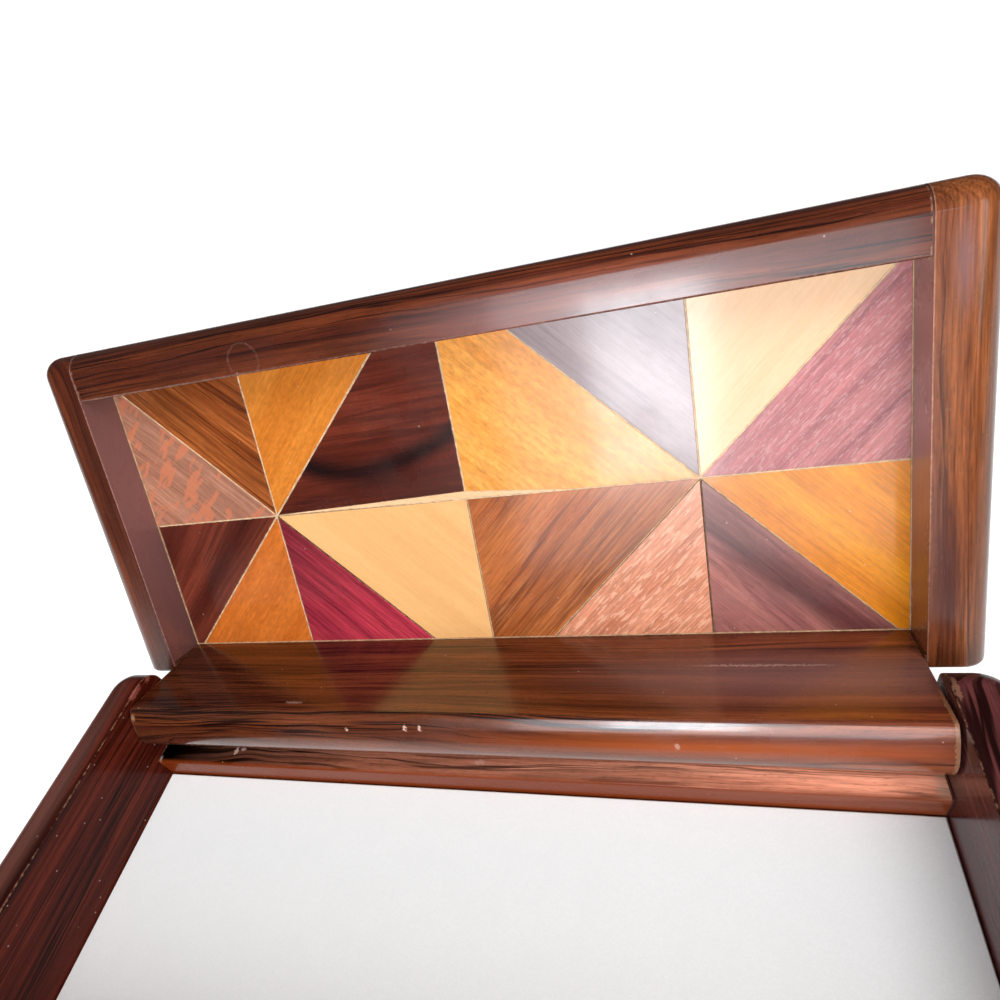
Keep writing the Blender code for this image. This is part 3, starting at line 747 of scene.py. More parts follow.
def wood_figure(name):
    """Figure of a board whose grain runs along X, its place in metres."""
    inputs = {"Place": "Vector", **dict.fromkeys(("Light", "Middle", "Dark", "Fleck"), "Color")}
    inputs.update(dict.fromkeys((
        "Seed", "Spacing", "Lines", "Streaks", "Wander", "Fibre", "Mottle", "Pores", "Tone",
        "Band", "Band Width", "Band Bend", "Band Strength", "Fade",
        "Fleck Along", "Fleck Across", "Fleck Amount", "Fleck Share",
    ), "Float"))
    outputs = {"Color": "Color", "Pore Mask": "Float", "Height": "Float"}
    group, bench, entry, leave = new_group(name, inputs, outputs)
    place = bench.stretch(entry["Place"], (1000.0, 1000.0, 1000.0))
    seed = bench.scale((137.1, 71.3, 39.7), entry["Seed"])
    board = bench.vector("ADD", place, seed)

    def grain(along, across, detail, roughness=0.5, output=0):
        """Noise drawn out along the grain."""
        drawn = bench.stretch(board, (along, across, across))
        return bench.noise(drawn, 1.0, detail, roughness, output)

    # The grain wanders, slowly and then in finer waves
    half = (0.5, 0.5, 0.5)
    slow = bench.vector("SUBTRACT", grain(0.014, 0.05, 1.0, output="Color"), half)
    quick = bench.vector("SUBTRACT", grain(0.07, 0.25, 1.0, output="Color"), half)
    drift = bench.vector(
        "ADD", bench.stretch(slow, (0.0, 3.0, 3.0)), bench.stretch(quick, (0.0, 0.45, 0.45))
    )
    wander = bench.scale(drift, entry["Wander"])

    # Growth rings round the heart of the tree, which lies beside the board
    apart = bench.add("SeparateXYZ", {0: bench.vector("ADD", board, wander)}).outputs
    across = bench.add("CombineXYZ", {"Y": apart["Y"], "Z": apart["Z"]}).outputs[0]
    heart = bench.stretch(bench.vector("ADD", seed, (0.0, 31.0, -64.0)), (0.0, 1.0, 1.0))
    rings = bench.vector("DISTANCE", across, heart, "Value")
    rings = bench.math("DIVIDE", rings, entry["Spacing"])
    along = bench.times(apart["X"], 0.007)
    rings = bench.add("CombineXYZ", {"X": rings, "Y": along, "Z": entry["Seed"]}).outputs[0]

    # Soft bands, thin dark lines where growth slowed, and broad black streaks
    soft = bench.noise(rings, 1.0, 4.0, 0.6)
    colour = bench.mix(bench.ramp(soft, 0.30, 0.66), entry["Light"], entry["Middle"])
    fine = bench.noise(bench.vector("ADD", rings, (17.3, 0.0, 0.0)), 1.25, 3.0, 0.6)
    fine = bench.math("ABSOLUTE", bench.minus(fine, 0.5))
    faint = bench.noise(bench.vector("ADD", rings, (41.9, 3.0, 0.0)), 0.8)
    thin = bench.times(bench.ramp(fine, 0.055, 0.008), bench.ramp(faint, 0.30, 0.60))
    colour = bench.mix(bench.times(thin, entry["Lines"], clamp=True), colour, entry["Dark"])
    broad = bench.noise(bench.stretch(rings, (0.45, 1.0, 1.0)), 1.0, 4.0, 0.62)
    edge = bench.minus(0.78, bench.times(entry["Streaks"], 0.36))
    broad = bench.ramp(broad, edge, bench.plus(edge, 0.07))
    colour = bench.mix(bench.times(broad, 0.92), colour, entry["Dark"])

    # One dark band where the piece has it
    tone = grain(0.02, 0.09, 2.0)
    local = bench.add("SeparateXYZ", {0: bench.vector("ADD", place, wander)}).outputs
    square = bench.times(local["X"], local["X"])
    bend = bench.times(square, bench.times(entry["Band Bend"], 0.01))
    off = bench.minus(bench.minus(local["Y"], entry["Band"]), bend)
    ragged = bench.times(bench.minus(soft, 0.5), 5.0)
    off = bench.math("ABSOLUTE", bench.plus(off, ragged))
    share = bench.math("DIVIDE", off, bench.plus(entry["Band Width"], 0.001))
    band = bench.times(bench.ramp(share, 1.4, 0.0), entry["Band Strength"], clamp=True)
    band = bench.times(band, bench.ramp(tone, 0.2, 0.55, 0.5, 1.0))
    colour = bench.mix(band, colour, entry["Dark"])

    # Slow changes of tone, fibres and mottle, and a tone that slopes along X across the piece; on
    # the frame boards that have it, the slope is painted light, lighter towards their right ends
    def swing(noise, amount, strength):
        """A shade that goes up and down round 1 with the noise."""
        part = bench.times(bench.minus(noise, 0.5), amount)
        return bench.plus(bench.times(part, strength), 1.0)

    fibre = grain(0.10, 2.6, 3.0, 0.6)
    mottle = grain(0.55, 1.3, 4.0, 0.62)
    shade = bench.times(bench.ramp(tone, 0.25, 0.75, -1.0, 1.0), entry["Tone"])
    shade = bench.times(bench.plus(shade, 1.0), swing(fibre, entry["Fibre"], 5.0))
    shade = bench.times(shade, swing(mottle, entry["Mottle"], 4.0))
    tone_slope = bench.minus(bench.times(local["X"], 0.05), 1.0)
    shade = bench.times(shade, bench.plus(bench.times(tone_slope, entry["Fade"]), 1.0))
    grey = bench.add("CombineColor", {0: shade, 1: shade, 2: shade}).outputs[0]
    colour = bench.mix(1.0, colour, grey, "MULTIPLY")

    # Flecks: rays cut at a slant, or dashes along the grain
    slots = {"X": entry["Fleck Along"], "Y": entry["Fleck Across"], "Z": 1.0}
    fleck = bench.stretch(board, bench.add("CombineXYZ", slots).outputs[0])
    fleck = bench.noise(fleck, 1.0, 2.0, 0.55)
    edge = bench.minus(0.80, bench.times(entry["Fleck Share"], 0.5))
    fleck = bench.ramp(fleck, edge, bench.plus(edge, 0.07))
    fleck = bench.times(fleck, entry["Fleck Amount"], clamp=True)
    colour = bench.mix(fleck, colour, entry["Fleck"])

    pore = bench.times(bench.ramp(grain(0.45, 4.5, 1.0), 0.62, 0.70), entry["Pores"])
    colour = bench.mix(pore, colour, entry["Dark"])
    height = bench.minus(bench.times(fibre, 0.35), pore)
    bench.feed(leave, {"Color": colour, "Pore Mask": pore, "Height": height})
    return group


def worn_edge(name):
    """Mask that is 1 along a piece's sharp edges, broken up as wear is."""
    inputs = {"Place": "Vector", "Width": "Float", "Breaks": "Float"}
    group, bench, entry, leave = new_group(name, inputs, {"Mask": "Float"})
    rounded = bench.add("Bevel", {"Radius": entry["Width"]}, samples=4).outputs[0]
    true = bench.add("NewGeometry").outputs["Normal"]
    near = bench.ramp(bench.vector("DOT_PRODUCT", rounded, true, "Value"), 0.995, 0.93)
    rough = bench.noise(entry["Place"], 900.0, 3.0, 0.65)
    rough = bench.ramp(rough, bench.times(entry["Breaks"], 0.62), 0.66)
    bench.feed(leave, {"Mask": bench.times(near, rough, clamp=True)})
    return group


def scuffs(name):
    """Fine scratches, dust specks and cloudy patches of a handled lacquer."""
    outputs = dict.fromkeys(("Specks", "Cloud", "Scratches"), "Float")
    group, bench, entry, leave = new_group(name, {"Place": "Vector"}, outputs)
    cells = bench.add("TexVoronoi", {"Vector": entry["Place"], "Scale": 420.0}).outputs
    near = bench.ramp(cells["Distance"], 0.09, 0.02)
    chosen = bench.add("SeparateColor", {0: cells["Color"]}).outputs[0]
    cloud = bench.noise(entry["Place"], 55.0, 4.0, 0.6)
    scratch = bench.noise(bench.stretch(entry["Place"], (90.0, 2600.0, 2600.0)))
    bench.feed(leave, {
        "Specks": bench.times(near, bench.math("GREATER_THAN", chosen, 0.88)),
        "Cloud": bench.ramp(cloud, 0.35, 0.70),
        "Scratches": bench.ramp(scratch, 0.60, 0.72),
    })
    return group


def mark(name):
    """Mask of one mark, filled or a ring, with a ragged or a soft outline."""
    inputs = dict.fromkeys(("Place", "Centre", "Reach"), "Vector")
    inputs.update({"Ring": "Float", "Soft": "Float"})
    group, bench, entry, leave = new_group(name, inputs, {"Mask": "Float"})
    edge = bench.minus(MARK_EDGE, entry["Soft"])
    rough = bench.noise(entry["Place"], 1900.0, 3.0, 0.7, "Color")
    rough = bench.vector("SUBTRACT", rough, (0.5, 0.5, 0.5))
    rough = bench.scale(rough, bench.times(edge, 1.9 * MM))
    off = bench.vector("SUBTRACT", bench.vector("ADD", entry["Place"], rough), entry["Centre"])
    far = bench.vector("LENGTH", bench.vector("DIVIDE", off, entry["Reach"]), output="Value")
    rim = bench.ramp(bench.math("ABSOLUTE", bench.minus(far, 1.0)), 0.055, 0.015)
    ring = bench.times(rim, entry["Ring"])
    filled = bench.times(bench.ramp(far, 1.1, edge), bench.minus(1.0, entry["Ring"]))
    bench.feed(leave, {"Mask": bench.plus(ring, filled)})
    return group


EFFECTS = {"wood_figure": wood_figure, "worn_edge": worn_edge, "scuffs": scuffs, "mark": mark}


def new_material(name):
    """A material, its bench, its shader, and the place on the piece that its patterns read."""
    material = bpy.data.materials.new(name)
    material.use_nodes = True
    bench = Bench(material.node_tree)
    shader = material.node_tree.nodes["Principled BSDF"]
    return material, bench, shader, bench.add("TexCoord").outputs["Object"]


def darker(colour, share):
    return tuple(share * part for part in colour)


def add_marks(bench, raw, marks, colour, coat):
    """Lays marks over the colour. A dull one takes gloss off the coat instead."""
    for centre, reach, kind, amount, stain in marks:
        spot = bench.effect("mark", {
            "Place": raw, "Ring": float(kind == "ring"),
            "Soft": MARK_EDGE * (kind in ("soft_patch", "dull")),
            "Centre": [MM * part for part in centre], "Reach": [MM * part for part in reach],
        })
        share = bench.times(spot.outputs[0], amount)
        if kind == "dull":
            coat = bench.times(coat, bench.minus(1.0, share))
        else:
            colour = bench.mix(share, colour, stain)
    return colour, coat


def lacquered(name, wood, seed, turn, centre, changes, wear, bare):
    """A lacquered wood. The turn brings the grain onto X, round the centre. Wear is the width
    and the breaks of the worn edges, and bare is their colour."""
    material, bench, shader, raw = new_material(name)
    moved = -(Euler(turn, "XYZ").to_matrix() @ Vector(centre))
    place = bench.add("Mapping", {"Vector": raw, "Rotation": turn, "Location": moved}).outputs[0]
    own = dict(zip(WOOD_COLUMNS, WOODS[wood]))
    amounts = {**PLAIN, **own, **changes, "Seed": seed, "Place": place}
    figure = bench.effect("wood_figure")
    bench.feed(figure, {socket: amounts[socket] for socket in figure.inputs.keys()})
    figure = figure.outputs
    scuffed = bench.effect("scuffs", {"Place": raw}).outputs
    edges = {"Place": raw, "Width": wear[0], "Breaks": wear[1]}
    worn = bench.effect("worn_edge", edges).outputs[0]

    gloss = changes.get("Gloss", 1.0)
    colour = bench.mix(worn, figure["Color"], bare)
    colour = bench.mix(bench.times(scuffed["Specks"], 0.6), colour, DUST)
    colour, coat = add_marks(bench, raw, changes.get("Marks", ()), colour, COAT * gloss)
    base = bpy.context.scene.trinketbox_finish.gloss
    rough = bench.ramp(scuffed["Cloud"], 0.0, 1.0, base * 0.8, base * 1.3)
    rough = bench.plus(rough, bench.times(figure["Pore Mask"], 0.15))
    rough = bench.plus(rough, bench.times(worn, 0.25), clamp=True)
    bench.feed(shader, {
        "Base Color": colour, "Roughness": rough, "Specular IOR Level": SPECULAR * gloss,
        "Coat Weight": coat, "Coat Roughness": COAT_ROUGHNESS,
    })
    height = bench.plus(figure["Height"], bench.times(scuffed["Scratches"], -0.5))
    bench.bump(shader, height, 0.3, 0.02 * MM)
    return material


def felt():
    """Pressed felt, with fine fibres and thicker clumps."""
    material, bench, shader, raw = new_material("felt_lining")
    colour = tuple(bpy.context.scene.trinketbox_finish.felt)
    fibres = bench.noise(bench.stretch(raw, (1.0, 1.4, 1.0)), 2400.0, 4.0, 0.7)
    clumps = bench.noise(raw, 160.0, 3.0, 0.6)
    shade = bench.mix(bench.ramp(fibres, 0.3, 0.7), darker(colour, 0.94), colour)
    shade = bench.mix(bench.ramp(clumps, 0.35, 0.75, 0.0, 0.3), shade, darker(colour, 0.93))
    bench.feed(shader, {"Base Color": shade, "Roughness": 0.95, "Sheen Weight": 0.3})
    bench.bump(shader, bench.plus(fibres, clumps), 0.25, 0.06 * MM)
    return material


def drawn_steel():
    """Steel rod with the fine lines that drawing leaves along it."""
    material, bench, shader, raw = new_material("drawn_steel")
    colour = tuple(bpy.context.scene.trinketbox_finish.steel)
    drawn = bench.noise(bench.stretch(raw, (120.0, 4200.0, 4200.0)), 1.0, 3.0, 0.6)
    shade = bench.mix(drawn, darker(colour, 0.8), colour)
    rough = bench.ramp(drawn, 0.3, 0.7, 0.22, 0.42)
    bench.feed(shader, {"Base Color": shade, "Roughness": rough, "Metallic": 1.0})
    bench.bump(shader, drawn, 0.3, 0.01 * MM)
    return material


def dried_glue(name, colour):
    """Glue that has dried dull and taken up dust."""
    material, bench, shader, raw = new_material(name)
    dust = bench.noise(raw, 700.0, 4.0, 0.65)
    shade = bench.mix(bench.ramp(dust, 0.35, 0.65), darker(colour, 0.6), colour)
    rough = bench.ramp(dust, 0.3, 0.7, 0.35, 0.6)
    bench.feed(shader, {"Base Color": shade, "Roughness": rough})
    bench.bump(shader, dust, 0.4, 0.05 * MM)
    return material


def finish_board(board, node, grain, body):
    """Finishes a board of the box or of the lid's frame, which replaces this node."""
    low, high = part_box(node)
    seed, changes = BOARDS[node]
    bare = tuple(bpy.context.scene.trinketbox_finish.bare)
    wood = lacquered(
        node + "_wood", "frame_wood", seed, grain, (low + high) / 2, changes, BOARD_WEAR, bare
    )
    finish_piece(board, wood, body, node, "frame_wood")


# Pieces


class TRINKETBOX_OT_walls(bpy.types.Operator):
    """Models the four walls of the box"""

    bl_idname = "trinketbox.walls"
    bl_label = "Box Walls"

    def execute(self, context):
        sizes = context.scene.trinketbox_sizes
        self.side_wall(sizes, -1, "left_wall")
        self.side_wall(sizes, 1, "right_wall")
        self.front_wall(sizes)
        self.back_wall(sizes)
        return {"FINISHED"}

    def side_wall(self, sizes, side, node):
        """A side wall, with a hole for its hinge pin."""
        low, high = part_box(node)
        inner, outer = inner_and_outer(side, low, high)
        inside, outside = at(x=inner), at(x=outer)
        wall = add_block(node + "_wood", low, high)
        round_edges(
            wall, lambda a, b: outside(a, b) and same(a.y, b.y), sizes.corner, sizes.steps
        )
        for height, radius in ((high.z, sizes.rim), (low.z, sizes.foot)):
            level = at(z=height)
            round_edges(wall, lambda a, b: level(a, b) and not inside(a, b), radius, sizes.steps)
        round_edges(wall, at(x=inner, z=high.z), sizes.worn * 2, 4)
        cut_bottom_seat(wall)
        cut_bore(wall, node.replace("wall", "hinge_pin"), low.x - OVERRUN, high.x + OVERRUN)
        finish_board(wall, node, ALONG_Y, "box")

    def front_wall(self, sizes):
        low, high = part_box("front_wall")
        wall = add_block("front_wall_wood", low, high)
        round_edges(wall, at(y=low.y, z=high.z), sizes.rim, sizes.steps)
        round_edges(wall, at(y=low.y, z=low.z), sizes.foot, sizes.steps)
        round_edges(wall, at(y=high.y, z=high.z), sizes.worn * 2, 4)
        cut_bottom_seat(wall)
        finish_board(wall, "front_wall", ALONG_X, "box")

    def back_wall(self, sizes):
        """The low back wall, with the slope that the open lid rests on."""
        low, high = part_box("back_wall")
        wall = add_block("back_wall_wood", low, high)
        slice_stop(wall, GLUE_GAP)
        round_edges(wall, at(y=high.y, z=low.z), sizes.foot, sizes.steps)
        round_edges(wall, at(y=low.y, z=high.z), sizes.worn * 1.5, 4)
        cut_bottom_seat(wall)
        finish_board(wall, "back_wall", ALONG_X, "box")


class TRINKETBOX_OT_bottom(bpy.types.Operator):
    """Models the bottom panel and the felt lining that lies on it"""

    bl_idname = "trinketbox.bottom"
    bl_label = "Bottom and Lining"

    def execute(self, context):
        low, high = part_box("bottom_panel")
        bottom = add_block("bottom_panel_wood", low, high)
        round_edges(bottom, at(), context.scene.trinketbox_sizes.worn, 2)
        finish_board(bottom, "bottom_panel", ALONG_X, "box")

        low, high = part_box("floor_lining")
        lining = add_block("floor_lining_felt", low, high)
        round_edges(lining, at(z=high.z), 0.35 * MM, 3)
        finish_piece(lining, felt(), "box", "floor_lining", "felt")
        return {"FINISHED"}


class TRINKETBOX_OT_pins(bpy.types.Operator):
    """Models the two steel pins that the lid turns on"""

    bl_idname = "trinketbox.pins"
    bl_label = "Hinge Pins"

    def execute(self, context):
        steel = drawn_steel()
        for node in ("left_hinge_pin", "right_hinge_pin"):
            low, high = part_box(node)
            pin = add_rod(node + "_steel", low.x, high.x, (high.y - low.y) / 2)
            left_end, right_end = at(x=low.x), at(x=high.x)
            round_edges(pin, lambda a, b: left_end(a, b) or right_end(a, b), 0.3 * MM, 3)
            finish_piece(pin, steel, "box", node, "steel")
        return {"FINISHED"}


class TRINKETBOX_OT_lid_frame(bpy.types.Operator):
    """Models the two end rails and the front rail of the lid"""

    bl_idname = "trinketbox.lid_frame"
    bl_label = "Lid Frame"

    def execute(self, context):
        sizes = context.scene.trinketbox_sizes
        self.end_rail(sizes, -1, "lid_left_rail")
        self.end_rail(sizes, 1, "lid_right_rail")
        self.front_rail(sizes, "lid_front_rail")
        return {"FINISHED"}

    def end_rail(self, sizes, side, node):
        """An end rail, square inside and rounded outside, with a softened tail."""
        low, high = shut_box(node)
        inner, outer = inner_and_outer(side, low, high)
        inside, tail = at(x=inner), at(y=high.y)
        rail = add_block(node + "_wood", low, high)
        round_edges(rail, at(x=outer, y=low.y), sizes.lid_corner, sizes.steps)
        for height in (low.z, high.z):
            level = at(z=height)
            round_edges(
                rail,
                lambda a, b: level(a, b) and not inside(a, b) and not tail(a, b),
                sizes.lid_edge, sizes.steps,
            )
        round_edges(rail, lambda a, b: tail(a, b) and not inside(a, b), sizes.tail, 4)
        round_edges(rail, at(x=inner, z=low.z), sizes.worn, 3)
        cut_panel_seat(rail)
        turn_open(rail)
        finish_board(rail, node, LID_ALONG_Y, "lid")

    def front_rail(self, sizes, node):
        low, high = shut_box(node)
        rail = add_block(node + "_wood", low, high)
        for height in (low.z, high.z):
            round_edges(rail, at(y=low.y, z=height), sizes.lid_edge, sizes.steps)
        round_edges(rail, at(y=high.y, z=low.z), sizes.worn, 3)
        cut_panel_seat(rail)
        turn_open(rail)
        finish_board(rail, node, LID_ALONG_X, "lid")


class TRINKETBOX_OT_hinge_rail(bpy.types.Operator):
    """Models the thick rail that the lid turns on"""

    bl_idname = "trinketbox.hinge_rail"
    bl_label = "Hinge Rail"

    def execute(self, context):
        sizes = context.scene.trinketbox_sizes
        low, high = shut_box("hinge_rail")
        rebate = shut_box(*INLAYS)[0].z - GLUE_GAP
        rail = add_block("hinge_rail_wood", low, high)
        slope = math.atan2(RAIL_LEAN, rebate - low.z)
        slice_off(rail, (0.0, low.y, rebate), (0.0, -math.cos(slope), -math.sin(slope)))
        foot_y = min(corner.co.y for corner in rail.data.vertices if same(corner.co.z, low.z))
        profile = ((-NOSE_HEIGHT * math.tan(slope), NOSE_HEIGHT), *NOSE_CORNERS)
        nose = [Vector((0.0, foot_y + y, low.z + z)) for y, z in profile]
        for first, second in zip(nose, nose[1:]):
            step = second - first
            slice_off(rail, first, Vector((0.0, step.z, -step.y)).normalized())
        round_edges(rail, at(y=high.y, z=low.z), high.y - PIN.y, 2 * sizes.steps)
        round_edges(rail, at(y=high.y, z=high.z), sizes.lid_edge, sizes.steps)
        for place, radius in zip(nose, (sizes.nose, *NOSE_RADII)):
            round_edges(rail, at(y=place.y, z=place.z), radius, sizes.steps)
        left_end, right_end = at(x=low.x), at(x=high.x)
        round_edges(
            rail,
            lambda a, b: (left_end(a, b) or right_end(a, b))
            and max(a.z, b.z) < rebate + 0.1 * MM,
            sizes.worn * 0.6, 2,
        )
        cut_panel_seat(rail)
        for pin in ("left_hinge_pin", "right_hinge_pin"):
            pin_low, pin_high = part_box(pin)
            cut_bore(rail, pin, pin_low.x - GLUE_GAP, pin_high.x + GLUE_GAP)
        turn_open(rail)
        finish_board(rail, "hinge_rail", LID_ALONG_X, "lid")
        return {"FINISHED"}


class TRINKETBOX_OT_glue(bpy.types.Operator):
    """Models the pale glue lines between the woods"""

    bl_idname = "trinketbox.glue"
    bl_label = "Glue Lines"

    def execute(self, context):
        sizes = context.scene.trinketbox_sizes
        pieces = [self.bed(), self.bead()]
        pale = dried_glue("pale_glue", tuple(context.scene.trinketbox_finish.glue))
        finish_piece(join_pieces("marquetry_glue", pieces), pale, "lid")

        stained = dried_glue("joint_glue", JOINT_GLUE)
        joints = join_pieces("lid_joint_glue", self.lid_films(sizes))
        turn_open(joints)
        finish_piece(joints, stained, "lid")
        joints = join_pieces("box_joint_glue", self.box_films(sizes))
        finish_piece(joints, stained, "box")
        return {"FINISHED"}

    def bed(self):
        """The glue between the pieces of the marquetry."""
        low, high = shut_box(*INLAYS)
        sunk = Vector((0.0, 0.0, SUNK))
        bed = add_block("glue", low + sunk, high - sunk)
        turn_open(bed)
        for node in INLAYS:
            cut_away(bed, copy_of(node, "cutter"))
        return bed

    def bead(self):
        """The bead between the panel and the ledge that it lies on."""
        low, high = shut_box(*INLAYS)
        front = shut_box("lid_front_rail")[1].y + BEAD_SHOWS
        back = shut_box("hinge_rail")[0].y - BEAD_SHOWS
        side = shut_box("lid_right_rail")[0].x - BEAD_SHOWS
        bead = add_block("bead", (low.x, low.y, low.z - GLUE_GAP), (high.x, high.y, low.z))
        cut_away(bead, add_block(
            "hole", (-side, front, low.z - OVERRUN), (side, back, low.z + OVERRUN)
        ))
        turn_open(bead)
        return bead

    def films_beside(self, low, high):
        """The films of glue at the two ends of a board with these corners."""
        for x in (low.x - GLUE_GAP, high.x):
            yield add_block("film", (x, low.y, low.z), (x + GLUE_GAP, high.y, high.z))

    def lid_films(self, sizes):
        """The films at the ends of the front rail, and of the hinge rail as far as they touch
        the end rails, up to the rebate."""
        end_low, end_high = shut_box("lid_left_rail")
        rebate = shut_box(*INLAYS)[0].z - GLUE_GAP
        low, high = shut_box("lid_front_rail")
        low += Vector((0.0, FILM_INSET, FILM_INSET))
        high = Vector((high.x, high.y - FILM_INSET, rebate))
        films = list(self.films_beside(low, high))
        for film in films:
            round_edges(film, at(y=low.y, z=low.z), sizes.lid_edge, 8)
        low, high = shut_box("hinge_rail")
        low = Vector((low.x, low.y + FILM_INSET, end_low.z + FILM_INSET))
        high = Vector((high.x, end_high.y - FILM_INSET, rebate))
        return films + list(self.films_beside(low, high))

    def box_films(self, sizes):
        """The films at the ends of the front and back walls."""
        films = []
        inset = Vector((0.0, FILM_INSET, FILM_INSET))
        for node in ("front_wall", "back_wall"):
            low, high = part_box(node)
            low, high = low + inset, high - inset
            for film in self.films_beside(low, high):
                outer = low.y if node == "front_wall" else high.y
                round_edges(film, at(y=outer, z=low.z), sizes.foot, 4)
                if node == "front_wall":
                    round_edges(film, at(y=low.y, z=high.z), sizes.rim, 8)
                else:
                    slice_stop(film, GLUE_GAP + FILM_INSET)
                films.append(film)
        return films


def splice_side(first, second):
    """A point and a direction, in the open lid, of the cut that this side of the splice needs."""
    (x0, y0), (x1, y1) = first, second
    surface = shut_box(*INLAYS)[0].z
    point = OPENED @ Vector((x0 * MM, STAR_Y + y0 * MM, surface))
    across = OPENED.to_3x3() @ Vector((-(y1 - y0), x1 - x0, 0.0)).normalized()
    return point, across


class TRINKETBOX_OT_marquetry(bpy.types.Operator):
    """Models the sixteen pieces of the marquetry panel"""

    bl_idname = "trinketbox.marquetry"
    bl_label = "Marquetry"

    def execute(self, context):
        glue = tuple(context.scene.trinketbox_finish.glue)
        surface = shut_box(*INLAYS)[0].z
        spliced = {"inlay_front_2_field": SPLICE[:2], "inlay_front_3_field": SPLICE[1:]}
        for node, (wood, seed, changes) in INLAYS.items():
            inlay = copy_of(node, node + "_wood")
            if node in spliced:
                slice_off(inlay, *splice_side(*spliced[node]))
            round_edges(inlay, at(), context.scene.trinketbox_sizes.inlay, 2)
            star_x, row, heading = CELLS[node.rsplit("_", 1)[0].removeprefix("inlay_")]
            way = Vector(changes.get("Way", (heading, row)))
            start = Vector(changes.get("Start", (0.0, 0.0))) * MM
            centre = OPENED @ Vector((star_x + start.x, STAR_Y + start.y, surface))
            turn = (OPEN_ANGLE, 0.0, -math.atan2(way.y, way.x))
            edge = changes.get("Edge", glue)
            material = lacquered(inlay.name, wood, seed, turn, centre, changes, INLAY_WEAR, edge)
            finish_piece(inlay, material, "lid", node, wood)
        return {"FINISHED"}


class TRINKETBOX_OT_splice(bpy.types.Operator):
    """Models the thin cream splice in the marquetry"""

    bl_idname = "trinketbox.splice"
    bl_label = "Cream Splice"

    def execute(self, context):
        low, high = shut_box(*INLAYS)
        splice = add_block(
            "cream_splice",
            (SPLICE[0][0] * MM, STAR_Y + SPLICE[1][1] * MM, low.z),
            (SPLICE[2][0] * MM, STAR_Y + SPLICE[0][1] * MM, high.z),
        )
        turn_open(splice)
        for first, second in zip(SPLICE, SPLICE[1:]):
            point, across = splice_side(first, second)
            slice_off(splice, point, -across)
        round_edges(splice, at(), 0.04 * MM, 1)
        material = lacquered(
            "cream_splice", "cream_wood", 17.9, LID_ALONG_X, OPENED @ low,
            {"Light": (0.86, 0.56, 0.33), "Middle": (0.78, 0.46, 0.24), "Pores": 0.5},
            SPLICE_WEAR, (0.16, 0.06, 0.03),
        )
        finish_piece(splice, material, "lid", slot="cream_wood")
        return {"FINISHED"}


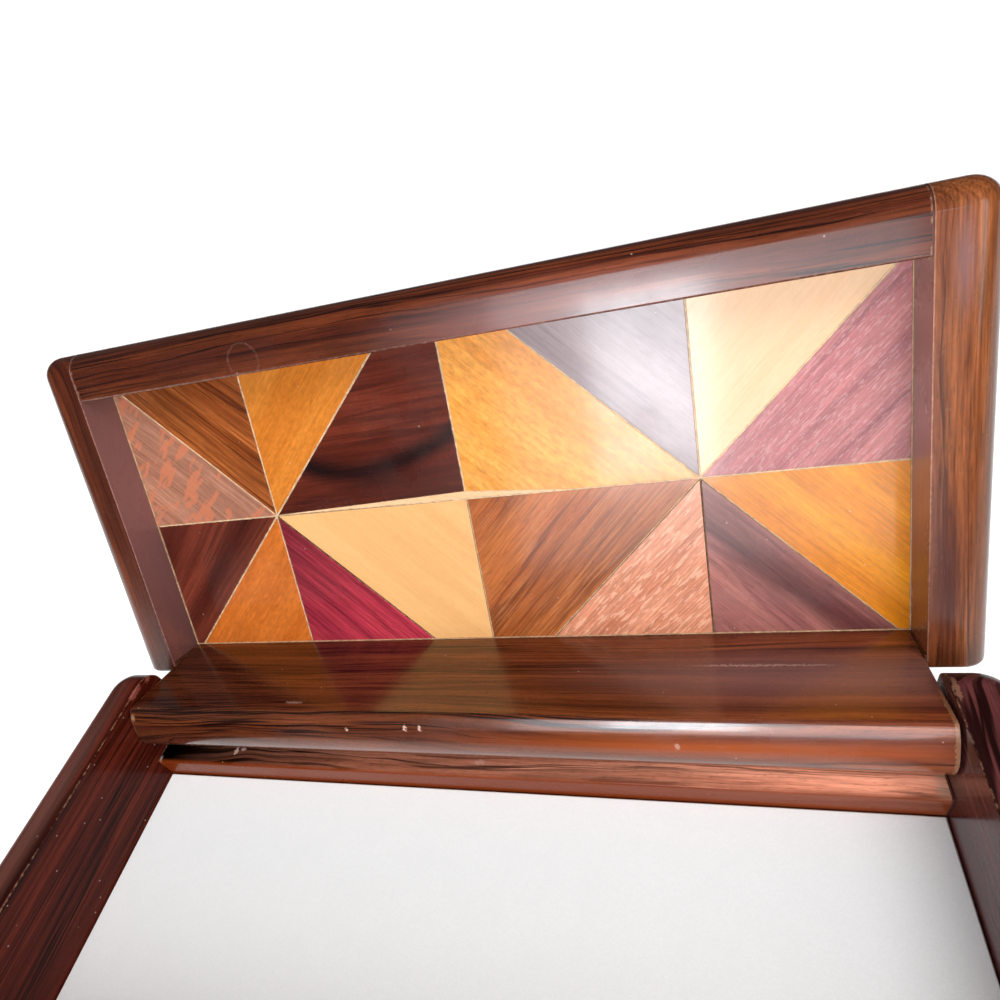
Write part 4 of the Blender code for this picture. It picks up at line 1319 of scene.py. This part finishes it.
class TRINKETBOX_OT_stage(bpy.types.Operator):
    """Sets up the floor, the soft lights and the camera"""

    bl_idname = "trinketbox.stage"
    bl_label = "Stage"

    def execute(self, context):
        self.floor()
        self.world(context.scene)
        self.sun()
        for name, light in AREA_LIGHTS.items():
            self.area_light(name, *light)
        self.camera(context.scene)
        context.scene.view_settings.view_transform = "Standard"
        return {"FINISHED"}

    def floor(self):
        bpy.ops.object.select_all(action="DESELECT")
        bpy.ops.mesh.primitive_plane_add(size=FLOOR_SIZE, location=(0.0, 0.0, -FLOOR_DROP))
        floor = bpy.context.object
        floor.name = "studio_floor"
        paint, bench, shader, raw = new_material("pale_floor")
        patch = bench.noise(raw, 3.0)
        bench.feed(shader, {
            "Base Color": bench.mix(patch, (0.86, 0.86, 0.86), (0.89, 0.89, 0.89)),
            "Roughness": 0.9,
            "Emission Color": (1.0, 1.0, 1.0),
            "Emission Strength": FLOOR_GLOW,
        })
        floor.data.materials.append(paint)
        floor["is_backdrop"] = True

    def world(self, scene):
        """A world that the camera sees as white, and that lights the box only a little."""
        world = bpy.data.worlds.new("soft_studio")
        world.use_nodes = True
        bench = Bench(world.node_tree)
        seen = bench.add("LightPath").outputs["Is Camera Ray"]
        strength = bench.ramp(seen, 0.0, 1.0, WORLD_LIGHT, WORLD_SEEN)
        sky = world.node_tree.nodes["Background"]
        bench.feed(sky, {"Color": (1.0, 1.0, 1.0), "Strength": strength})
        scene.world = world

    def sun(self):
        """The sun only brings out colour: it shows in no gloss."""
        bpy.ops.object.light_add(type="SUN", rotation=SUN_TURN)
        sun = bpy.context.object
        sun.name = "soft_sun"
        sun.data.energy = SUN_POWER
        sun.data.angle = SUN_WIDTH
        sun.visible_glossy = False

    def area_light(self, name, place, target, width, height, power, colour):
        bpy.ops.object.select_all(action="DESELECT")
        bpy.ops.object.light_add(type="AREA", location=place)
        lamp = bpy.context.object
        lamp.name = name
        lamp.data.shape = "RECTANGLE"
        lamp.data.size = width
        lamp.data.size_y = height
        lamp.data.energy = power
        lamp.data.color = colour
        ray = Vector(target) - Vector(place)
        lamp.rotation_euler = ray.to_track_quat("-Z", "Y").to_euler()

    def camera(self, scene):
        bpy.ops.object.camera_add(location=CAMERA_PLACE, rotation=CAMERA_TURN)
        camera = bpy.context.object
        camera.name = "photo_camera"
        camera.data.sensor_fit = "HORIZONTAL"
        camera.data.sensor_width = 36.0
        camera.data.lens = CAMERA_LENS
        camera.data.clip_start = 0.005
        scene.camera = camera


class TRINKETBOX_PT_panel(bpy.types.Panel):
    """Lists the sizes, the colours and the operators"""

    bl_label = "Trinket Box"
    bl_idname = "TRINKETBOX_PT_panel"
    bl_space_type = "VIEW_3D"
    bl_region_type = "UI"
    bl_category = "Trinket Box"

    def draw(self, context):
        layout = self.layout
        for group in (context.scene.trinketbox_sizes, context.scene.trinketbox_finish):
            column = layout.column(align=True)
            for name in group.__annotations__:
                column.prop(group, name)
        column = layout.column(align=True)
        for operator in OPERATORS:
            column.operator(operator.bl_idname)


OPERATORS = (
    TRINKETBOX_OT_stage,
    TRINKETBOX_OT_walls,
    TRINKETBOX_OT_bottom,
    TRINKETBOX_OT_pins,
    TRINKETBOX_OT_lid_frame,
    TRINKETBOX_OT_hinge_rail,
    TRINKETBOX_OT_glue,
    TRINKETBOX_OT_marquetry,
    TRINKETBOX_OT_splice,
)
CLASSES = (TRINKETBOX_PG_sizes, TRINKETBOX_PG_finish, *OPERATORS, TRINKETBOX_PT_panel)


def register():
    for each in CLASSES:
        bpy.utils.register_class(each)
    bpy.types.Scene.trinketbox_sizes = PointerProperty(type=TRINKETBOX_PG_sizes)
    bpy.types.Scene.trinketbox_finish = PointerProperty(type=TRINKETBOX_PG_finish)


def unregister():
    del bpy.types.Scene.trinketbox_finish
    del bpy.types.Scene.trinketbox_sizes
    for each in reversed(CLASSES):
        bpy.utils.unregister_class(each)


def main():
    register()
    for operator in OPERATORS:
        group, name = operator.bl_idname.split(".")
        getattr(getattr(bpy.ops, group), name)()
    boxes = {"cad": CAD_BOX, "visual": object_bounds()}
    {name: [list(corner) for corner in box] for name, box in boxes.items()}


if __name__ == "__main__":
    main()
